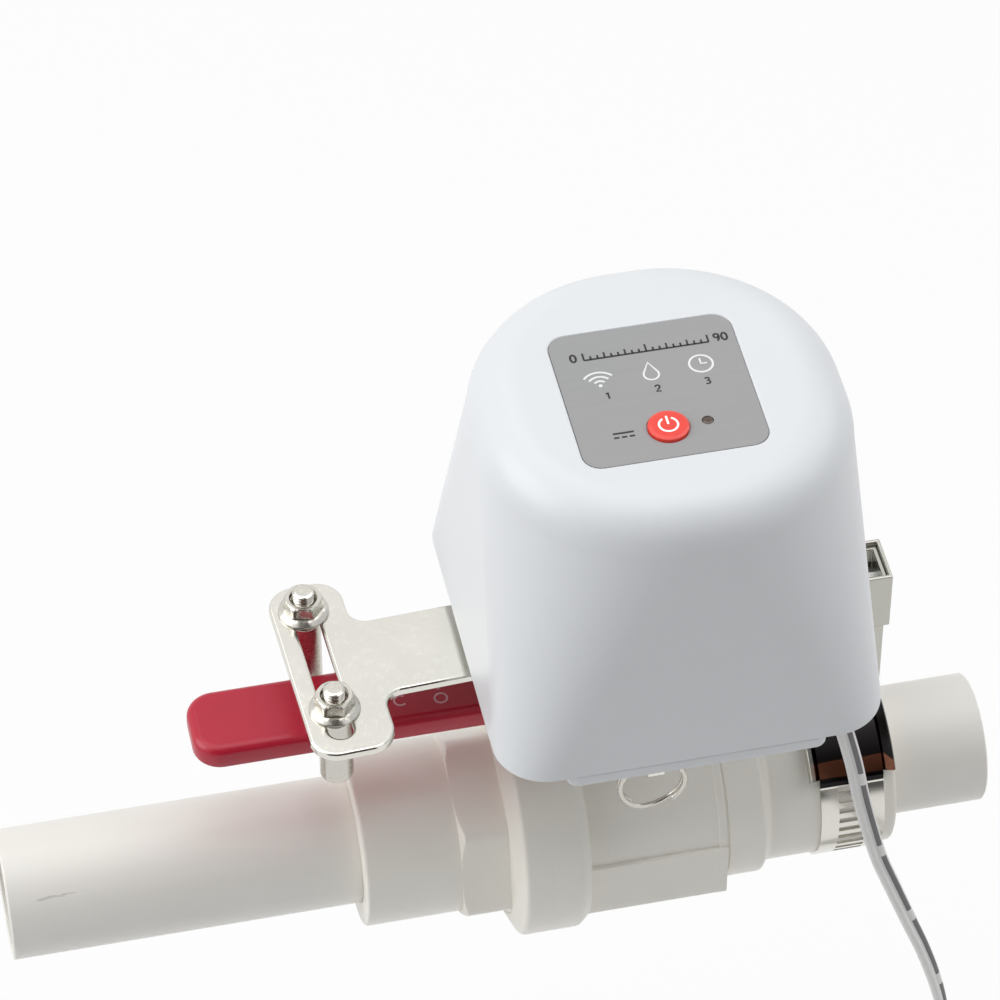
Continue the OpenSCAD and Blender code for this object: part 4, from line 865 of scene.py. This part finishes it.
ink_black = moulded("ink_black", srgb(22, 21, 22), 0.45, grain=2500)
ink_white = moulded("ink_white", srgb(238, 240, 240), 0.4, grain=2500)
TICKS, SCALE_HEIGHT, NUMBER_HEIGHT = 18, 2.3, 2.0
left, far = on_panel(0.17, 0.2), on_panel(0.85, 0.2)
dark_signs = stroke([left, far], INK)
for k in range(TICKS + 1):
    x = left[0] + (far[0] - left[0]) * k / TICKS
    tick = 2.3 if k % 9 == 0 else 1.7 if k % 3 == 0 else 1.1
    dark_signs += stroke([(x, left[1]), (x, left[1] + tick)], INK_THIN)
dark_signs += number("0", on_panel(0.115, 0.175), SCALE_HEIGHT, INK)
dark_signs += number("90", on_panel(0.92, 0.175), SCALE_HEIGHT, INK)
for text, u in (("1", 0.235), ("2", 0.505), ("3", 0.775)):
    dark_signs += number(text, on_panel(u, 0.485), NUMBER_HEIGHT, INK_THIN)
dc = on_panel(0.25, 0.785)
dark_signs += stroke([(dc[0] - 2.4, dc[1] + 0.6), (dc[0] + 2.4, dc[1] + 0.6)], INK)
for k in (-1, 0, 1):
    dark_signs += stroke([(dc[0] - 0.6 + 1.8 * k, dc[1] - 0.7),
                          (dc[0] + 0.6 + 1.8 * k, dc[1] - 0.7)], INK)
printed("panel_signs_dark", dark_signs, PANEL_TOP, ink_black, BODY)
light_signs = []
dot = on_panel(0.213, 0.405)
for r in (1.5, 2.9, 4.3):
    light_signs += stroke(arc(dot, r, 40, 140), INK)
light_signs.append(circle(dot, 0.45, 16))
tip = on_panel(0.495, 0.285)
drop = [tip] + arc((tip[0], tip[1] - 3.9), 1.75, 25, -205, 20)
light_signs += stroke(drop, INK_FINE, True)
clock = on_panel(0.771, 0.352)
light_signs += stroke(arc(clock, 2.7, 0, 354, 40), INK, True)
light_signs += stroke([(clock[0], clock[1] + 1.7), clock, (clock[0] + 1.4, clock[1])], INK_FINE)
printed("panel_signs_light", light_signs, PANEL_TOP, ink_white, BODY)

# The button: a red moulded cap, lit from below, with a white power sign. It goes down half a
# millimetre on a push switch. The status light is a smoked lens beside it.
lit_red, s, into = finish("lit_red", {"Roughness": 0.3, "Emission Strength": 0.06,
                                      "Coat Weight": 0.2})
cloud = s.noise(240, 3)
cloud.mix(srgb(226, 56, 44), srgb(238, 72, 58)).feed(into["Base Color"])
cloud.mix(srgb(250, 60, 48), srgb(255, 96, 80)).feed(into["Emission Color"])
CAP_TOP = COVER_TOP + 0.8
cap = [(0.02, 142.6), (1.7, 142.6), (1.7, 143.2), (6.25, 143.2), (6.25, 144.4), (BUTTON_R, 144.4),
       (BUTTON_R, CAP_TOP - 0.5), (4.66, CAP_TOP - 0.28), (4.4, CAP_TOP - 0.12),
       (3.9, CAP_TOP - 0.03), (3.2, CAP_TOP), (0.02, CAP_TOP)]
piece("button_cap", skin(turned(cap, (*BUTTON_AT, 0))), lit_red, "button",
      ("power_button",))
sign_white, s, into = finish("sign_white", {"Roughness": 0.4, "Emission Strength": 0.3})
s.noise(300).mix(srgb(250, 238, 234), srgb(255, 246, 243)).feed(into["Base Color"])
s.noise(300).mix(srgb(255, 236, 230), srgb(255, 246, 243)).feed(into["Emission Color"])
power_sign = stroke(arc(BUTTON_AT, 2.15, 118, 422, 30), INK)
power_sign += stroke([(BUTTON_AT[0], BUTTON_AT[1] + 2.7), (BUTTON_AT[0], BUTTON_AT[1] + 0.1)], INK)
printed("power_sign", power_sign, CAP_TOP, sign_white, "button")
smoked, s, into = finish("smoked_lens", {"Roughness": 0.15, "Coat Weight": 0.5})
s.noise(900, 2).mix(srgb(62, 40, 24), srgb(78, 54, 34)).feed(into["Base Color"])
lens = [(0.02, 139.8), (2.2, 139.8), (2.2, 141.3), (LED_R, 141.3), (LED_R, PANEL_TOP - 0.25),
        (1.1, PANEL_TOP - 0.12), (0.7, PANEL_TOP - 0.04), (0.02, PANEL_TOP)]
piece("status_lens", skin(turned(lens, (*LED_AT, 0), sides=32)), smoked, BODY,
      ("status_led",))

# The base: a white moulding that closes the cover from below, with stands for the motor and the
# board. The cover's screws come up through it, and the cord leaves by a grommet.
softened("base_plate", shell_white, BODY, 0.35, crease=40, steps=2)
coat(shell_white, "cable_grommet")
coat(steel, "cover_screws")
coat(brass, "base_bush")

# The drive: a moulded gear and a cam on the output shaft, under a steel plate with a sintered bush.
# Two switches beside the cam stop the motor at each end of the quarter turn.
gear_nylon = moulded("gear_nylon", srgb(232, 229, 220), 0.4)
coat(gear_nylon, "output_gear")
coat(steel, "gear_plate", "gear_plate_screws")
coat(brass, "plate_bush")
coat(black_moulding, "limit_cam", "limit_switches")

# The motor: a steel can with its own gears, screwed on the plate, with a dog on its shaft that drives
# the pinion below it. The pin through the pinion draws it off the dog against a coil spring.
coat(steel, "gear_motor", "motor_screws", "motor_coupler", "drive_pinion")
coat(nickel, "clutch_pin")

# The clutch spring: five turns of hard steel wire between the base and the pin's collar.
CLUTCH_AT, CLUTCH_TRAVEL = (-6.965, -34.3), 5.0
SPRING_R, SPRING_WIRE, SPRING_TURNS, TURN_STEPS, WIRE_SIDES = 4.1, 0.35, 5, 24, 8
spring_low, spring_high = (corner[2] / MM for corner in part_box("clutch_spring"))
spring_loops = []
for k in range(TURN_STEPS * SPRING_TURNS + 1):
    a, turns = 2 * math.pi * k / TURN_STEPS, k / TURN_STEPS
    climb = min(1, max(0, (turns - 0.5) / (SPRING_TURNS - 1)))
    z = spring_low + SPRING_WIRE + climb * (spring_high - spring_low - 2 * SPRING_WIRE)
    wire = [(SPRING_R + c, d) for c, d in circle((0, 0), SPRING_WIRE, WIRE_SIDES)]
    spring_loops.append([(CLUTCH_AT[0] + r * math.cos(a), CLUTCH_AT[1] + r * math.sin(a), z + d)
                         for r, d in wire])
spring = piece("coil_spring", skin(spring_loops), steel, BODY, ("clutch_spring",),
               crease=60)
row((CLUTCH_AT[0], CLUTCH_AT[1], spring_low))
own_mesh(spring)

# The pull ring: two turns of hard plated wire, closed on each other, hung in the pin's eye below the
# base. Pulling it frees the lever, so that the valve can be turned by hand.
RING_AT, RING_R, RING_WIRE, RING_SIDE = Vector((*CLUTCH_AT, 43.15)), 7.85, 0.6, 0.62
RING_START, RING_SWEEP, CROSS_START, CROSS_SWEEP = -50, 640, 285, 70
ring_loops = []
for k in range(0, RING_SWEEP + 1, 5):
    share = min(1, max(0, (k - CROSS_START) / CROSS_SWEEP))
    middle = RING_AT + Vector((0, RING_SIDE * (2 * share * share * (3 - 2 * share) - 1), 0))
    ring_loops.append([middle + polar(RING_START + k, RING_R + c) + Vector((0, d, 0))
                       for c, d in circle((0, 0), RING_WIRE, 12)])
piece("split_ring", skin(ring_loops), bright_steel, "ring", ("pull_ring",), crease=50)

# The circuit board: green glass laminate with copper tracks under the mask, on four screws.
# The push switch under the button stands on it.
solder_mask, s, into = finish("solder_mask", {"Roughness": 0.35})
traces = (s.noise(300, 0, (1, 0.1, 1)) > 0.55) + (s.noise(300, 0, (0.1, 1, 1)) > 0.6)
tracked = s.math("MINIMUM", traces, 1.0)
tracked.mix(srgb(18, 84, 46), srgb(28, 112, 62)).feed(into["Base Color"])
coat(solder_mask, "circuit_board")
coat(steel, "board_screws")
coat(black_moulding, "tact_switch")

# The bracket and the saddle leg: folded zinc-plated sheet. The leg slides in the bracket's channel,
# a screw and a nut hold its height, and its curved foot sits on the valve's socket. The foot's
# black with a brown band in it is a painted reflection of the dark surroundings.
ZINC = srgb(190, 189, 181)
# Where the painted reflection lies on the saddle's foot: its heights and left end, then the heights
# of the brown band in it, in metres.
REFLECTION_LOW, REFLECTION_TOP, REFLECTION_LEFT, REFLECTION_BROWN_LOW, REFLECTION_BROWN_TOP = 0.0124, 0.0265, 0.1985, 0.0149, 0.0178
softened("bracket", plated("sheet_zinc", ZINC, 0.3), BODY, 0.35, crease=40, steps=2)


def painted_reflection_steel(name, pale, rough):
    """Plated steel with a painted reflection: black round the saddle's foot, with a brown band in it.
    """
    made, s, into = finish(name, {"Metallic": 1.0, "Roughness": rough})
    place = s.node("TexCoord", out="Object")
    height = s.node("SeparateXYZ", (), {0: place}, out="Z")
    length = s.node("SeparateXYZ", (), {0: place}, out="X")
    smear = s.noise(80, 4)
    # Painted reflection: a black band of the dark surroundings, with a brown band inside it.
    line = height + smear * 0.0012 - 0.0006
    brown_reflection = (line > REFLECTION_BROWN_LOW) * (line < REFLECTION_BROWN_TOP)
    black = brown_reflection.mix(smear.mix(srgb(26, 25, 26), srgb(44, 41, 41)),
                       smear.mix(srgb(96, 62, 48), srgb(140, 94, 74)))
    reflection_area = (height > REFLECTION_LOW) * (height < REFLECTION_TOP) * (length > REFLECTION_LEFT)
    reflection_area.mix(smear.mix(dimmed(pale, 0.93), pale), black).feed(into["Base Color"])
    (rough - 0.04 + smear * 0.1).feed(into["Roughness"])
    s.noise(900, 3).bump(0.12, 0.00001).feed(into["Normal"])
    return made


softened("saddle_leg", painted_reflection_steel("saddle_steel", ZINC, 0.24), BODY, 0.2, crease=40, steps=2)
coat(steel, "bracket_screws", "leg_screw", "leg_nut")

# The clamp: a slotted steel band round the socket, drawn tight by a worm screw in a pressed housing.
# It presses the saddle's foot on the socket.
# The band carries the same painted reflection, black with a brown band, where it runs under the
# saddle's foot.
coat(painted_reflection_steel("band_steel", srgb(222, 220, 212), 0.2), "clamp_band")
coat(nickel, "clamp_housing")
coat(steel, "clamp_screw")
